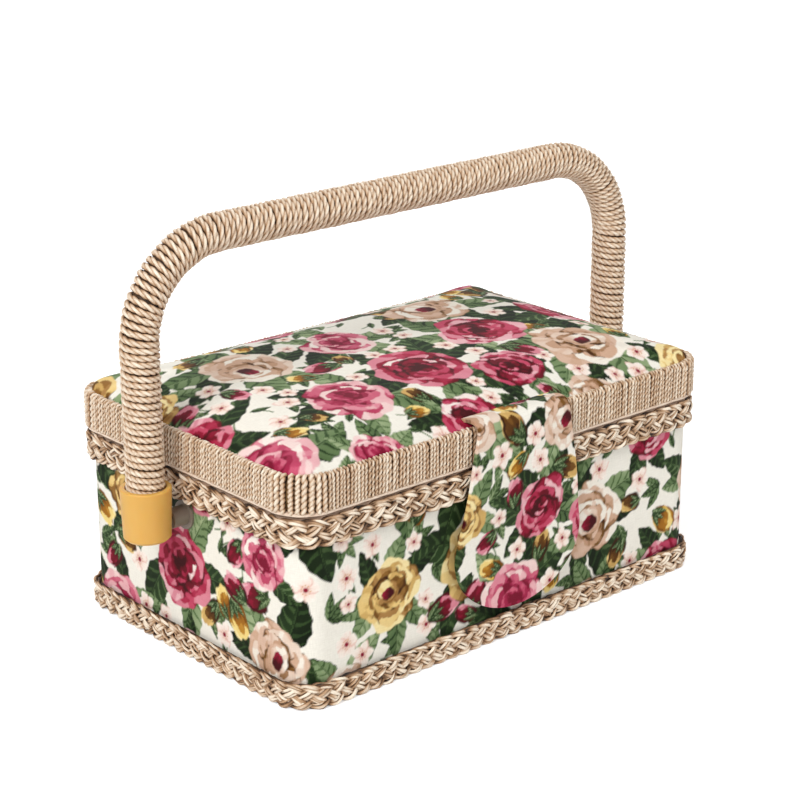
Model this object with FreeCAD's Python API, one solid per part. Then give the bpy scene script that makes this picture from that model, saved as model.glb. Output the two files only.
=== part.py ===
"""Fabric-covered sewing box with a padded hinged lid, a magnetic closing flap and a wound swing handle.

The frame is in millimetres: X runs along the length, Y from front (-Y, the flap) to back (+Y, the
hinges) and Z up. The origin is the middle of the underside. Every flat piece of the box and the lid
follows one rounded outline, the outside of the straw trims, taken in by a named inset.
"""

import FreeCAD
import Part
import math
import os

from FreeCAD import Vector

# Driving dimensions of the box
BOX_LENGTH = 250.0
BOX_WIDTH = 165.0
SPLIT_HEIGHT = 87.0
LID_EDGE_HEIGHT = 18.0
SPLIT_GAP = 0.4
CORNER_RADIUS = 18.0

# Boards, cloth and padding
BOARD = 3.0
CLOTH = 1.0
BASE_CLOTH = 0.8
WALL_LINING = 2.0
BASE_PAD = 4.0
BASE_PAD_BEVEL = 1.5
LID_PAD_EDGE = 3.0
LID_PANEL_LINING = 3.0
LID_SIDE_LINING = 1.5
LID_CROWN = 13.0
CROWN_SHOULDER_SHARE = 0.58
CROWN_STEP_SHARES = (0.0, 0.2, 0.4, 0.6, 0.8, 1.0)
CROWN_CORNER_SHARE = 0.3
CROWN_CORNER_STEPS = 6

# Straw trims
BRAID = 4.0
BRAID_EDGE = 1.4
BRAID_GROOVE = 1.1
BRAID_RIDGE_SHARES = (0.3, 0.7)
BASE_BRAID_HEIGHT = 12.0
RIM_BRAID_HEIGHT = 13.0
BINDING_HEIGHT = 1.2
BINDING_SETBACK = 0.8
BAND_BEVEL = 1.4
TRIM_GAP = 0.1

# Closing flap: three layers over a magnet
FLAP_CLOTH = 0.8
FLAP_STIFFENER = 1.4
FLAP_TOP_WIDTH = 54.0
FLAP_WIDTH = 76.0
FLAP_END_HEIGHT = 32.4
FLAP_FOOT_GAP = 1.6
FLAP_SEAM_GAP = 0.3
FLAP_BAND_CLEARANCE = 1.2
FLAP_WALL_CLEARANCE = 2.4
FLAP_SHOULDER_ROUND = 3.0
FLAP_BEND_ROUND = 24.0
FLAP_STRAIGHT = 32.0
FLAP_LEAN = 22.0
STIFFENER_MARGIN = 2.0
MAGNET_DIAMETER = 15.0
MAGNET_RISE_SHARE = 0.58
CLASP_PLATE_DIAMETER = 18.0
CLASP_PLATE = 1.0

# Lid hinges
HINGE_SPACING_SHARE = 0.56
HINGE_WIDTH = 26.0
LEAF = 0.7
LEAF_FIT = 0.1
KNUCKLE_RADIUS = 1.7
KNUCKLE_STANDOFF = 0.8
KNUCKLE_GAP = 0.3
HINGE_PIN_RADIUS = 0.8
HINGE_RUNNING_FIT = 0.05
BRAD_RADIUS = 0.7
BRAD_HEAD_RADIUS = 1.4
BRAD_LENGTH = 8.0
BRAD_SPACING = 14.0

# Handle
LEG_CLEARANCE = 4.8
HAND_ROOM = 60.8
HANDLE_BEND = 42.0
HANDLE_DIAMETER = 17.4
CORE_DIAMETER = 10.0
WRAP_LOOPS = 24
WRAP_SIDES = 10
WRAP_WIDTH_SHARES = (-1.0, -1 / 3, 1 / 3, 1.0)
WRAP_LOOP_GAP = 1.0
WRAP_FIT = 0.1
FERRULE_DIAMETER = 22.4
FERRULE_FOOT_DIAMETER = 20.6
FERRULE_HEIGHT = 23.5
FERRULE_SOCKET = 9.0
FERRULE_SOCKET_FIT = 0.3
FERRULE_BEVEL = 1.2
FERRULE_LIP = 0.5

# Handle pivots
PIVOT_BELOW_BRAID = 6.7
PIVOT_RISE = 5.5
PIVOT_RADIUS = 2.5
PIVOT_FIT = 0.05
PIVOT_GRIP = 9.5
PIVOT_HEAD_RADIUS = 6.0
PIVOT_HEAD = 1.5
PIVOT_HEAD_CHAMFER = 0.5
BUSH_RADIUS = 4.5
BUSH_FLANGE_RADIUS = 6.5
BUSH_FLANGE = 1.0
BUSH_END_GAP = 0.3

# One overrun serves every cut
OVERRUN = 5.0

# Insets of the layers from the outside of the trims
CLOTH_INSET = BRAID
BOARD_INSET = CLOTH_INSET + CLOTH
BOARD_BACK_INSET = BOARD_INSET + BOARD
CAVITY_INSET = BOARD_BACK_INSET + WALL_LINING

# Heights of the layers
RIM_HEIGHT = SPLIT_HEIGHT + LID_EDGE_HEIGHT
BASE_BOARD_TOP = BASE_CLOTH + BOARD
BOX_TOP = SPLIT_HEIGHT - SPLIT_GAP / 2
WALL_TOP = BOX_TOP - CLOTH
LID_BOTTOM = SPLIT_HEIGHT + SPLIT_GAP / 2
LID_RIM_BOTTOM = LID_BOTTOM + CLOTH
LID_BOARD_TOP = RIM_HEIGHT - LID_PAD_EDGE
LID_BOARD_BOTTOM = LID_BOARD_TOP - BOARD
LID_TOP = RIM_HEIGHT + LID_CROWN + CLOTH
LID_SHOULDER = CROWN_SHOULDER_SHARE * (BOX_WIDTH / 2 - BOARD_INSET)
RIM_BRAID_TOP = BOX_TOP - LEAF - TRIM_GAP
RIM_BRAID_BOTTOM = RIM_BRAID_TOP - RIM_BRAID_HEIGHT
BAND_BOTTOM = LID_BOTTOM + BINDING_HEIGHT + TRIM_GAP

# Hinge axis, clear of the trims so that the lid swings free
HINGE_SPACING = HINGE_SPACING_SHARE * BOX_LENGTH
HINGE_Y = BOX_WIDTH / 2 + KNUCKLE_STANDOFF + KNUCKLE_RADIUS
HINGE_Z = SPLIT_HEIGHT
BRAD_Y = BOX_WIDTH / 2 - BOARD_INSET - BOARD / 2

# Flap seam, where its face meets the lid cloth
FLAP_THICKNESS = 2 * FLAP_CLOTH + FLAP_STIFFENER
FLAP_SEAM_Y = -(BOX_WIDTH / 2 - CLOTH_INSET + FLAP_SEAM_GAP)
FLAP_BACK_TOP = RIM_HEIGHT + FLAP_BAND_CLEARANCE
FLAP_LEAN_TOP = FLAP_BACK_TOP - FLAP_STRAIGHT
FLAP_LEAN_BOTTOM = FLAP_LEAN_TOP - FLAP_LEAN
FLAP_BOTTOM = BASE_BRAID_HEIGHT + FLAP_FOOT_GAP
FLAP_WIDEST_HEIGHT = FLAP_BOTTOM + FLAP_END_HEIGHT
MAGNET_HEIGHT = FLAP_BOTTOM + MAGNET_RISE_SHARE * (FLAP_LEAN_BOTTOM - FLAP_BOTTOM)

# Handle legs and their pivots
FERRULE_INNER_X = BOX_LENGTH / 2 + LEG_CLEARANCE
LEG_X = FERRULE_INNER_X + FERRULE_DIAMETER / 2
BAR_HEIGHT = LID_TOP + HAND_ROOM + HANDLE_DIAMETER / 2
PIVOT_HEIGHT = RIM_BRAID_BOTTOM - PIVOT_BELOW_BRAID
FERRULE_BOTTOM = PIVOT_HEIGHT - PIVOT_RISE
SOCKET_BOTTOM = FERRULE_BOTTOM + FERRULE_HEIGHT - FERRULE_SOCKET
SIDES = {"left": -1, "right": 1}


def outline_wire(inset, z, corner=None):
    """The box's rounded outline, taken in by inset, as a closed wire that starts at the front middle."""
    half_x = BOX_LENGTH / 2 - inset
    half_y = BOX_WIDTH / 2 - inset
    radius = CORNER_RADIUS - inset if corner is None else corner
    diagonal = radius * (1 - math.sqrt(0.5))
    edges = [Part.makeLine(Vector(0, -half_y, z), Vector(half_x - radius, -half_y, z))]
    for turn in range(4):
        sign_x = 1 if turn in (0, 1) else -1
        sign_y = -1 if turn in (0, 3) else 1
        along_x = Vector(sign_x * (half_x - radius), sign_y * half_y, z)
        middle = Vector(sign_x * (half_x - diagonal), sign_y * (half_y - diagonal), z)
        along_y = Vector(sign_x * half_x, sign_y * (half_y - radius), z)
        start, end = (along_x, along_y) if turn in (0, 2) else (along_y, along_x)
        edges.append(Part.Arc(start, middle, end).toShape())
        if turn in (0, 2):
            edges.append(Part.makeLine(end, Vector(end.x, -end.y, z)))
        elif turn == 1:
            edges.append(Part.makeLine(end, Vector(-end.x, end.y, z)))
        else:
            edges.append(Part.makeLine(end, Vector(0, -half_y, z)))
    return Part.Wire(edges)


def plate(inset, bottom, top):
    """A flat piece with the box's outline."""
    face = Part.Face(outline_wire(inset, bottom))
    return face.extrude(Vector(0, 0, top - bottom))


def ring(outer_inset, inner_inset, bottom, top):
    """A wall that follows the box's outline."""
    return plate(outer_inset, bottom, top).cut(plate(inner_inset, bottom, top))


def swept_trim(profile):
    """A trim swept round the outline. The profile is a closed list of edges in the plane x = 0 at the front."""
    spine = outline_wire(CLOTH_INSET, 0)
    return spine.makePipeShell([Part.Wire(profile)], True, False)


def front_point(inset, z):
    """A point of a trim's section, on the front face."""
    return Vector(0, -(BOX_WIDTH / 2 - inset), z)


def cylinder_x(radius, x_from, x_to, y, z):
    """A round bar along X between two stations."""
    start, end = min(x_from, x_to), max(x_from, x_to)
    return Part.makeCylinder(radius, end - start, Vector(start, y, z), Vector(1, 0, 0))


def rounded_path(points, radii):
    """Edges through points of the plane x = 0, with each inner corner rounded by its own radius."""
    edges = []
    start = points[0]
    for before, corner, after, radius in zip(points, points[1:], points[2:], radii):
        back = (before - corner).normalize()
        ahead = (after - corner).normalize()
        half_turn = (math.pi - back.getAngle(ahead)) / 2
        leg = radius * math.tan(half_turn)
        tangent_in = corner + back * leg
        tangent_out = corner + ahead * leg
        inward = (back + ahead).normalize()
        middle = corner + inward * (radius / math.cos(half_turn) - radius)
        edges.append(Part.makeLine(start, tangent_in))
        edges.append(Part.Arc(tangent_in, middle, tangent_out).toShape())
        start = tangent_out
    edges.append(Part.makeLine(start, points[-1]))
    return edges


def offset_path(points, distance):
    """The points of a polyline of the plane x = 0, moved to its left by distance."""
    def left(a, b):
        along = (b - a).normalize()
        return Vector(0, -along.z, along.y)

    moved = [points[0] + left(points[0], points[1]) * distance]
    for before, corner, after in zip(points, points[1:], points[2:]):
        one, two = left(before, corner), left(corner, after)
        moved.append(corner + (one + two) * (distance / (1 + one.dot(two))))
    moved.append(points[-1] + left(points[-2], points[-1]) * distance)
    return moved


# Box


def make_base():
    """The base board in its cloth, and the padded lining on the floor."""
    pad = plate(CAVITY_INSET, BASE_BOARD_TOP, BASE_BOARD_TOP + BASE_PAD)
    rim = [e for e in pad.Edges if abs(e.CenterOfMass.z - pad.BoundBox.ZMax) < TRIM_GAP]
    return {
        "base_cover": plate(CLOTH_INSET, 0, BASE_CLOTH),
        "base_board": plate(BOARD_BACK_INSET, BASE_CLOTH, BASE_BOARD_TOP),
        "base_pad": pad.makeChamfer(BASE_PAD_BEVEL, rim),
    }


def make_wall():
    """The bent wall board, its printed cloth turned over the top edge, and the padded lining."""
    cover = ring(CLOTH_INSET, BOARD_INSET, BASE_CLOTH, BOX_TOP)
    hem = ring(BOARD_INSET, BOARD_BACK_INSET, WALL_TOP, BOX_TOP)
    return {
        "wall_board": ring(BOARD_INSET, BOARD_BACK_INSET, BASE_CLOTH, WALL_TOP),
        "body_cover": cover.fuse(hem).removeSplitter(),
        "wall_lining": ring(BOARD_BACK_INSET, CAVITY_INSET, BASE_BOARD_TOP, BOX_TOP),
    }


def braid_profile(bottom, height):
    """A plait's section: a flat back and two ridges with a groove between them."""
    row = height / 2
    points = [front_point(CLOTH_INSET, bottom), front_point(CLOTH_INSET - BRAID_EDGE, bottom)]
    for low in (bottom, bottom + row):
        points += [front_point(0, low + share * row) for share in BRAID_RIDGE_SHARES]
        points.append(front_point(BRAID_GROOVE, low + row))
    points[-1] = front_point(CLOTH_INSET - BRAID_EDGE, bottom + height)
    points.append(front_point(CLOTH_INSET, bottom + height))
    return Part.makePolygon(points + points[:1]).Edges


def make_braids():
    """The plaited straw round the base and round the rim of the box."""
    return {
        "base_braid": swept_trim(braid_profile(0, BASE_BRAID_HEIGHT)),
        "rim_braid": swept_trim(braid_profile(RIM_BRAID_BOTTOM, RIM_BRAID_HEIGHT)),
    }


def make_clasp_plate():
    """The steel disc let into the front wall, under the cloth, that the flap's magnet holds to."""
    face_y = -(BOX_WIDTH / 2 - BOARD_INSET)
    return Part.makeCylinder(
        CLASP_PLATE_DIAMETER / 2, CLASP_PLATE, Vector(0, face_y, MAGNET_HEIGHT), Vector(0, 1, 0)
    )


# Lid


def crown_section(inset, share, rise, thickness):
    """One level of the padded crown: the outline drawn in along a quarter of an ellipse, its corners in chords."""
    angle = share * math.pi / 2
    drawn_in = LID_SHOULDER * (1 - math.cos(angle))
    radius = CORNER_RADIUS - inset + CROWN_CORNER_SHARE * drawn_in
    middle_x = BOX_LENGTH / 2 - inset - drawn_in - radius
    middle_y = BOX_WIDTH / 2 - inset - drawn_in - radius
    z = RIM_HEIGHT + thickness + rise * math.sin(angle)
    points = []
    for turn, (sign_x, sign_y) in enumerate(((1, -1), (1, 1), (-1, 1), (-1, -1))):
        for step in range(CROWN_CORNER_STEPS + 1):
            heading = (turn - 1 + step / CROWN_CORNER_STEPS) * math.pi / 2
            points.append(
                Vector(sign_x * middle_x + radius * math.cos(heading), sign_y * middle_y + radius * math.sin(heading), z)
            )
    return Part.makePolygon(points + points[:1])


def crown(inset, thickness):
    """The padded crown above the band, drawn in level by level."""
    sections = [crown_section(inset, share, LID_CROWN, thickness) for share in CROWN_STEP_SHARES]
    return Part.makeLoft(sections, True, True)


def make_lid():
    """The lid's boards, foam pad, printed cloth and lining."""
    pad = plate(BOARD_INSET, LID_BOARD_TOP, RIM_HEIGHT).fuse(crown(BOARD_INSET, 0)).removeSplitter()
    skirt = plate(CLOTH_INSET, LID_BOTTOM, RIM_HEIGHT + CLOTH)
    filling = plate(BOARD_INSET, LID_RIM_BOTTOM, LID_BOARD_TOP).fuse(pad)
    mouth = plate(BOARD_BACK_INSET, LID_BOTTOM, LID_RIM_BOTTOM)
    cover = skirt.fuse(crown(CLOTH_INSET, CLOTH)).cut(filling).cut(mouth).removeSplitter()
    lining_bottom = LID_BOARD_BOTTOM - LID_PANEL_LINING
    lining = plate(BOARD_BACK_INSET, LID_BOTTOM, LID_BOARD_BOTTOM)
    hollow = plate(BOARD_BACK_INSET + LID_SIDE_LINING, LID_BOTTOM, lining_bottom)
    return {
        "lid_board": plate(BOARD_INSET, LID_BOARD_BOTTOM, LID_BOARD_TOP),
        "lid_rim": ring(BOARD_INSET, BOARD_BACK_INSET, LID_RIM_BOTTOM, LID_BOARD_BOTTOM),
        "lid_pad": pad,
        "lid_cover": cover,
        "lid_lining": lining.cut(hollow),
    }


def make_lid_trims():
    """The wound straw band round the lid, and the flat binding under it."""
    points = [
        front_point(CLOTH_INSET, BAND_BOTTOM),
        front_point(0, BAND_BOTTOM),
        front_point(0, RIM_HEIGHT - BAND_BEVEL),
        front_point(BAND_BEVEL, RIM_HEIGHT),
        front_point(CLOTH_INSET - BAND_BEVEL, RIM_HEIGHT),
        front_point(CLOTH_INSET, RIM_HEIGHT - BAND_BEVEL),
    ]
    band = Part.makePolygon(points + points[:1]).Edges
    return {
        "lid_band": swept_trim(band),
        "lid_binding": ring(BINDING_SETBACK, CLOTH_INSET, LID_BOTTOM, LID_BOTTOM + BINDING_HEIGHT),
    }


# Hinges


def hinge_leaf(middle_x, is_lid):
    """One leaf of a butt hinge: a plate let in between lid and box, with its knuckles on the hinge axis."""
    low_x = middle_x - HINGE_WIDTH / 2
    knuckle = (HINGE_WIDTH - 2 * KNUCKLE_GAP) / 3
    middle_low = low_x + knuckle + KNUCKLE_GAP
    stations = {
        True: [(middle_low, middle_low + knuckle)],
        False: [(low_x, low_x + knuckle), (low_x + HINGE_WIDTH - knuckle, low_x + HINGE_WIDTH)],
    }
    leaf_bottom = LID_BOTTOM if is_lid else BOX_TOP - LEAF
    inner_y = BOX_WIDTH / 2 - BOARD_BACK_INSET + LEAF_FIT
    leaf = Part.makeBox(HINGE_WIDTH, HINGE_Y - inner_y, LEAF, Vector(low_x, inner_y, leaf_bottom))
    for start, end in stations[not is_lid]:
        room = cylinder_x(KNUCKLE_RADIUS + KNUCKLE_GAP, start - KNUCKLE_GAP, end + KNUCKLE_GAP, HINGE_Y, HINGE_Z)
        leaf = leaf.cut(room)
    for start, end in stations[is_lid]:
        leaf = leaf.fuse(cylinder_x(KNUCKLE_RADIUS, start, end, HINGE_Y, HINGE_Z))
    bore = HINGE_PIN_RADIUS + (HINGE_RUNNING_FIT if is_lid else 0)
    return leaf.cut(cylinder_x(bore, low_x, low_x + HINGE_WIDTH, HINGE_Y, HINGE_Z)).removeSplitter()


def hinge_brads(middle_x, is_lid):
    """The two countersunk brads that hold one leaf to the edge of its board."""
    face = LID_BOTTOM if is_lid else BOX_TOP
    into = Vector(0, 0, 1 if is_lid else -1)
    brads = []
    for sign in SIDES.values():
        place = Vector(middle_x + sign * BRAD_SPACING / 2, BRAD_Y, face)
        head = Part.makeCone(BRAD_HEAD_RADIUS, BRAD_RADIUS, LEAF, place, into)
        shank = Part.makeCylinder(BRAD_RADIUS, BRAD_LENGTH - LEAF, place + into * LEAF, into)
        brads.append(head.fuse(shank).removeSplitter())
    return brads


def make_hinges(nodes):
    """Two butt hinges at the back, their pins and brads, let into the edges of lid and box."""
    made = {}
    brads = {True: [], False: []}
    for side, sign in SIDES.items():
        middle_x = sign * HINGE_SPACING / 2
        half = HINGE_WIDTH / 2
        made[f"hinge_pin_{side}"] = cylinder_x(HINGE_PIN_RADIUS, middle_x - half, middle_x + half, HINGE_Y, HINGE_Z)
        for is_lid, name in ((False, "box"), (True, "lid")):
            leaf = hinge_leaf(middle_x, is_lid)
            for brad in hinge_brads(middle_x, is_lid):
                leaf = leaf.cut(brad)
                brads[is_lid].append(brad)
            made[f"hinge_{name}_leaf_{side}"] = leaf
    let_in = {False: ("body_cover", "wall_board"), True: ("lid_cover", "lid_rim", "lid_binding")}
    for is_lid, members in let_in.items():
        for name in members:
            for sign in SIDES.values():
                nodes[name] = nodes[name].cut(hinge_room(sign * HINGE_SPACING / 2, is_lid))
            nodes[name] = nodes[name].cut(Part.makeCompound(brads[is_lid]))
    made["hinge_box_brads"] = Part.makeCompound(brads[False])
    made["hinge_lid_brads"] = Part.makeCompound(brads[True])
    return made


def hinge_room(middle_x, is_lid):
    """The shallow pocket that one leaf lies in."""
    bottom = LID_BOTTOM if is_lid else BOX_TOP - LEAF
    inner_y = BOX_WIDTH / 2 - BOARD_BACK_INSET
    width = HINGE_WIDTH + 2 * LEAF_FIT
    return Part.makeBox(
        width, HINGE_Y - inner_y, LEAF, Vector(middle_x - width / 2, inner_y, bottom)
    )


# Flap


def flap_layer(near, far, margin):
    """One layer of the flap between two distances from its back, cut to the tongue outline less a margin."""
    over_y = -(BOX_WIDTH / 2 + FLAP_BAND_CLEARANCE)
    wall_y = -(BOX_WIDTH / 2 - CLOTH_INSET + FLAP_WALL_CLEARANCE)
    back = [
        Vector(0, FLAP_SEAM_Y, FLAP_BACK_TOP),
        Vector(0, over_y, FLAP_BACK_TOP),
        Vector(0, over_y, FLAP_LEAN_TOP),
        Vector(0, wall_y, FLAP_LEAN_BOTTOM),
        Vector(0, wall_y, FLAP_BOTTOM - OVERRUN),
    ]
    turns = (1, 1, -1)
    rounds = (FLAP_SHOULDER_ROUND, FLAP_BEND_ROUND, FLAP_BEND_ROUND)
    paths = []
    for distance in (near, far):
        radii = [radius + turn * distance for radius, turn in zip(rounds, turns)]
        paths.append(rounded_path(offset_path(back, -distance), radii))
    ends = [[Part.Wire(path).OrderedVertexes[i].Point for path in paths] for i in (0, -1)]
    section = Part.Face(Part.Wire(paths[0] + [Part.makeLine(*ends[1])] + paths[1][::-1] + [Part.makeLine(*ends[0])]))
    layer = section.extrude(Vector(FLAP_WIDTH, 0, 0))
    layer.translate(Vector(-FLAP_WIDTH / 2, 0, 0))
    return layer.common(flap_tongue(margin))


def flap_tongue(margin):
    """The flap's front outline, a tongue that widens to a round end, as a block across the flap."""
    top = FLAP_BACK_TOP + FLAP_THICKNESS + OVERRUN
    half_top, half_wide = FLAP_TOP_WIDTH / 2 - margin, FLAP_WIDTH / 2 - margin
    bottom = Vector(0, 0, FLAP_BOTTOM + margin)
    corners = [
        Vector(half_wide, 0, FLAP_WIDEST_HEIGHT),
        Vector(half_top, 0, RIM_HEIGHT),
        Vector(half_top, 0, top),
        Vector(-half_top, 0, top),
        Vector(-half_top, 0, RIM_HEIGHT),
        Vector(-half_wide, 0, FLAP_WIDEST_HEIGHT),
    ]
    edges = [Part.makeLine(a, b) for a, b in zip(corners, corners[1:])]
    edges.append(Part.Arc(corners[-1], bottom, corners[0]).toShape())
    tongue = Part.Face(Part.Wire(edges)).extrude(Vector(0, -BOX_WIDTH / 2, 0))
    tongue.translate(Vector(0, -BOX_WIDTH / 2 + BOARD_BACK_INSET + OVERRUN, 0))
    return tongue


def make_flap():
    """The closing flap: printed face, card stiffener with its magnet, and backing."""
    wall_y = -(BOX_WIDTH / 2 - CLOTH_INSET + FLAP_WALL_CLEARANCE)
    magnet = Part.makeCylinder(
        MAGNET_DIAMETER / 2, FLAP_STIFFENER, Vector(0, wall_y - FLAP_CLOTH, MAGNET_HEIGHT), Vector(0, -1, 0)
    )
    inner, outer = FLAP_CLOTH, FLAP_CLOTH + FLAP_STIFFENER
    return {
        "flap_backing": flap_layer(0, inner, 0),
        "flap_stiffener": flap_layer(inner, outer, STIFFENER_MARGIN).cut(magnet),
        "flap_face": flap_layer(outer, FLAP_THICKNESS, 0),
        "flap_magnet": magnet,
    }


# Handle


def handle_edges(bottom):
    """The handle's centre line: up the left leg, over the bar and down the right leg."""
    straight_top = BAR_HEIGHT - HANDLE_BEND
    bar_end = LEG_X - HANDLE_BEND
    diagonal = HANDLE_BEND * math.sqrt(0.5)
    left_bend = Vector(-bar_end - diagonal, 0, straight_top + diagonal)
    right_bend = Vector(bar_end + diagonal, 0, straight_top + diagonal)
    corners = [
        Vector(-LEG_X, 0, bottom),
        Vector(-LEG_X, 0, straight_top),
        Vector(-bar_end, 0, BAR_HEIGHT),
        Vector(bar_end, 0, BAR_HEIGHT),
        Vector(LEG_X, 0, straight_top),
        Vector(LEG_X, 0, bottom),
    ]
    return [
        Part.makeLine(corners[0], corners[1]),
        Part.Arc(corners[1], left_bend, corners[2]).toShape(),
        Part.makeLine(corners[2], corners[3]),
        Part.Arc(corners[3], right_bend, corners[4]).toShape(),
        Part.makeLine(corners[4], corners[5]),
    ]


def handle_bar(diameter):
    """A round bar along the handle's whole centre line."""
    path = Part.Wire(handle_edges(SOCKET_BOTTOM))
    start = Part.makeCircle(diameter / 2, Vector(-LEG_X, 0, SOCKET_BOTTOM), Vector(0, 0, 1))
    return path.makePipeShell([Part.Wire(start)], True, False)


def handle_station(along):
    """The centre of the handle and its outward normal, at a length along its centre line."""
    leg = BAR_HEIGHT - HANDLE_BEND - SOCKET_BOTTOM
    bend = HANDLE_BEND * math.pi / 2
    bar = 2 * (LEG_X - HANDLE_BEND)
    if along < leg:
        return Vector(-LEG_X, 0, SOCKET_BOTTOM + along), Vector(-1, 0, 0)
    if along > leg + 2 * bend + bar:
        down = along - leg - 2 * bend - bar
        return Vector(LEG_X, 0, BAR_HEIGHT - HANDLE_BEND - down), Vector(1, 0, 0)
    if leg + bend <= along <= leg + bend + bar:
        return Vector(along - leg - bend - bar / 2, 0, BAR_HEIGHT), Vector(0, 0, 1)
    on_left = along < leg + bend
    turned = (along - leg if on_left else leg + 2 * bend + bar - along) / HANDLE_BEND
    sign = -1 if on_left else 1
    normal = Vector(sign * math.cos(turned), 0, math.sin(turned))
    centre = Vector(sign * (LEG_X - HANDLE_BEND), 0, BAR_HEIGHT - HANDLE_BEND)
    return centre + normal * HANDLE_BEND, normal


def make_wrap():
    """The straw wound round the core in one unbroken strip, trimmed square at both sockets."""
    length = Part.Wire(handle_edges(SOCKET_BOTTOM)).Length
    pitch = length / (WRAP_LOOPS - 1)
    half_strip = (pitch - WRAP_LOOP_GAP) / 2
    inner = (CORE_DIAMETER / 2 + WRAP_FIT) / math.cos(math.pi / WRAP_SIDES)
    outer = HANDLE_DIAMETER / 2
    section = [(share, inner) for share in WRAP_WIDTH_SHARES]
    section += [(share, outer) for share in WRAP_WIDTH_SHARES[::-1]]
    rows = []
    for step in range(WRAP_LOOPS * WRAP_SIDES + 1):
        angle = step * 2 * math.pi / WRAP_SIDES
        along = pitch * (step / WRAP_SIDES) - pitch / 2
        row = []
        for share, radius in section:
            centre, normal = handle_station(along + share * half_strip)
            row.append(centre + (Vector(0, 1, 0) * math.cos(angle) + normal * math.sin(angle)) * radius)
        rows.append(row)
    last = len(WRAP_WIDTH_SHARES) - 1
    gaps = [
        min((low[last] - high[0]).Length, (low[last + 1] - high[-1]).Length)
        for low, high in zip(rows, rows[WRAP_SIDES:])
    ]
    print(f"handle_wrap: {WRAP_LOOPS} loops, least gap between loops {min(gaps):.2f} mm")
    strip = Part.makeLoft([Part.makePolygon(row + row[:1]) for row in rows], True, True)
    below = Part.makeBox(
        4 * LEG_X, BOX_WIDTH, BAR_HEIGHT, Vector(-2 * LEG_X, -BOX_WIDTH / 2, SOCKET_BOTTOM - BAR_HEIGHT)
    )
    return strip.cut(below)


def make_ferrule(sign):
    """The moulded cap on one end of the handle: a socket for the wound end over a solid pivot block."""
    foot = Vector(sign * LEG_X, 0, FERRULE_BOTTOM)
    cap = Part.makeCone(FERRULE_FOOT_DIAMETER / 2, FERRULE_DIAMETER / 2, FERRULE_HEIGHT, foot)
    top = FERRULE_BOTTOM + FERRULE_HEIGHT
    cap = cap.makeChamfer(FERRULE_BEVEL, [e for e in cap.Edges if e.BoundBox.ZMax < FERRULE_BOTTOM + TRIM_GAP])
    cap = cap.makeChamfer(FERRULE_LIP, [e for e in cap.Edges if e.BoundBox.ZMin > top - TRIM_GAP])
    socket = HANDLE_DIAMETER / 2 + FERRULE_SOCKET_FIT
    cap = cap.cut(Part.makeCylinder(socket, FERRULE_SOCKET + OVERRUN, Vector(foot.x, 0, SOCKET_BOTTOM)))
    pivot_end = sign * (FERRULE_INNER_X + PIVOT_GRIP + PIVOT_FIT)
    return cap.cut(cylinder_x(PIVOT_RADIUS + PIVOT_FIT, 0, pivot_end, 0, PIVOT_HEIGHT))


def make_handle():
    """The bent core, the straw wound on it and the two moulded ferrules."""
    nodes = {
        "handle_core": handle_bar(CORE_DIAMETER),
        "handle_wrap": make_wrap(),
    }
    for side, sign in SIDES.items():
        nodes[f"ferrule_{side}"] = make_ferrule(sign)
    return nodes


def make_pivots(nodes):
    """A flanged bush in each end wall and a headed pin that turns in it and in the ferrule."""
    made = {}
    half = BOX_LENGTH / 2
    cavity_x, lining_x = half - CAVITY_INSET, half - BOARD_BACK_INSET
    cloth_x = half - CLOTH_INSET
    for side, sign in SIDES.items():
        pin = cylinder_x(PIVOT_RADIUS, sign * cavity_x, sign * (FERRULE_INNER_X + PIVOT_GRIP), 0, PIVOT_HEIGHT)
        head = cylinder_x(PIVOT_HEAD_RADIUS, sign * (cavity_x - PIVOT_HEAD), sign * cavity_x, 0, PIVOT_HEIGHT)
        crest = [e for e in head.Edges if abs(abs(e.CenterOfMass.x) - cavity_x + PIVOT_HEAD) < TRIM_GAP]
        head = head.makeChamfer(PIVOT_HEAD_CHAMFER, crest)
        made[f"pivot_pin_{side}"] = pin.fuse(head).removeSplitter()
        nose = cylinder_x(BUSH_RADIUS, sign * lining_x, sign * (FERRULE_INNER_X - BUSH_END_GAP), 0, PIVOT_HEIGHT)
        flange = cylinder_x(BUSH_FLANGE_RADIUS, sign * cloth_x, sign * (cloth_x + BUSH_FLANGE), 0, PIVOT_HEIGHT)
        running = cylinder_x(PIVOT_RADIUS + PIVOT_FIT, 0, sign * LEG_X, 0, PIVOT_HEIGHT)
        made[f"pivot_bush_{side}"] = nose.fuse(flange).cut(running).removeSplitter()
        for name in ("wall_board", "body_cover"):
            nodes[name] = nodes[name].cut(cylinder_x(BUSH_RADIUS, 0, sign * LEG_X, 0, PIVOT_HEIGHT))
        nodes["wall_lining"] = nodes["wall_lining"].cut(running)
    return made


def build():
    """Every piece of the box by its name."""
    nodes = {}
    nodes.update(make_base())
    nodes.update(make_wall())
    nodes.update(make_braids())
    nodes["clasp_plate"] = make_clasp_plate()
    nodes["wall_board"] = nodes["wall_board"].cut(nodes["clasp_plate"])
    nodes.update(make_lid())
    nodes.update(make_lid_trims())
    nodes.update(make_hinges(nodes))
    nodes.update(make_flap())
    nodes.update(make_handle())
    nodes.update(make_pivots(nodes))
    return nodes


def export(nodes):
    """Write one STEP file for each piece and print what it holds."""
    os.makedirs("parts", exist_ok=True)
    for name, shape in sorted(nodes.items()):
        shape.exportStep(os.path.join("parts", f"{name}.step"))
        print(f"{name}: {len(shape.Solids)} solids, {shape.Volume:.0f} mm3, valid {shape.isValid()}")


export(build())
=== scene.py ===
"""Looks of the fabric sewing box: rose-printed cloth, plaited and wound straw, moulded and metal fittings.

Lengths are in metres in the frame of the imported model: X along the length, -Y to the front, Z up.
"""

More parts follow.
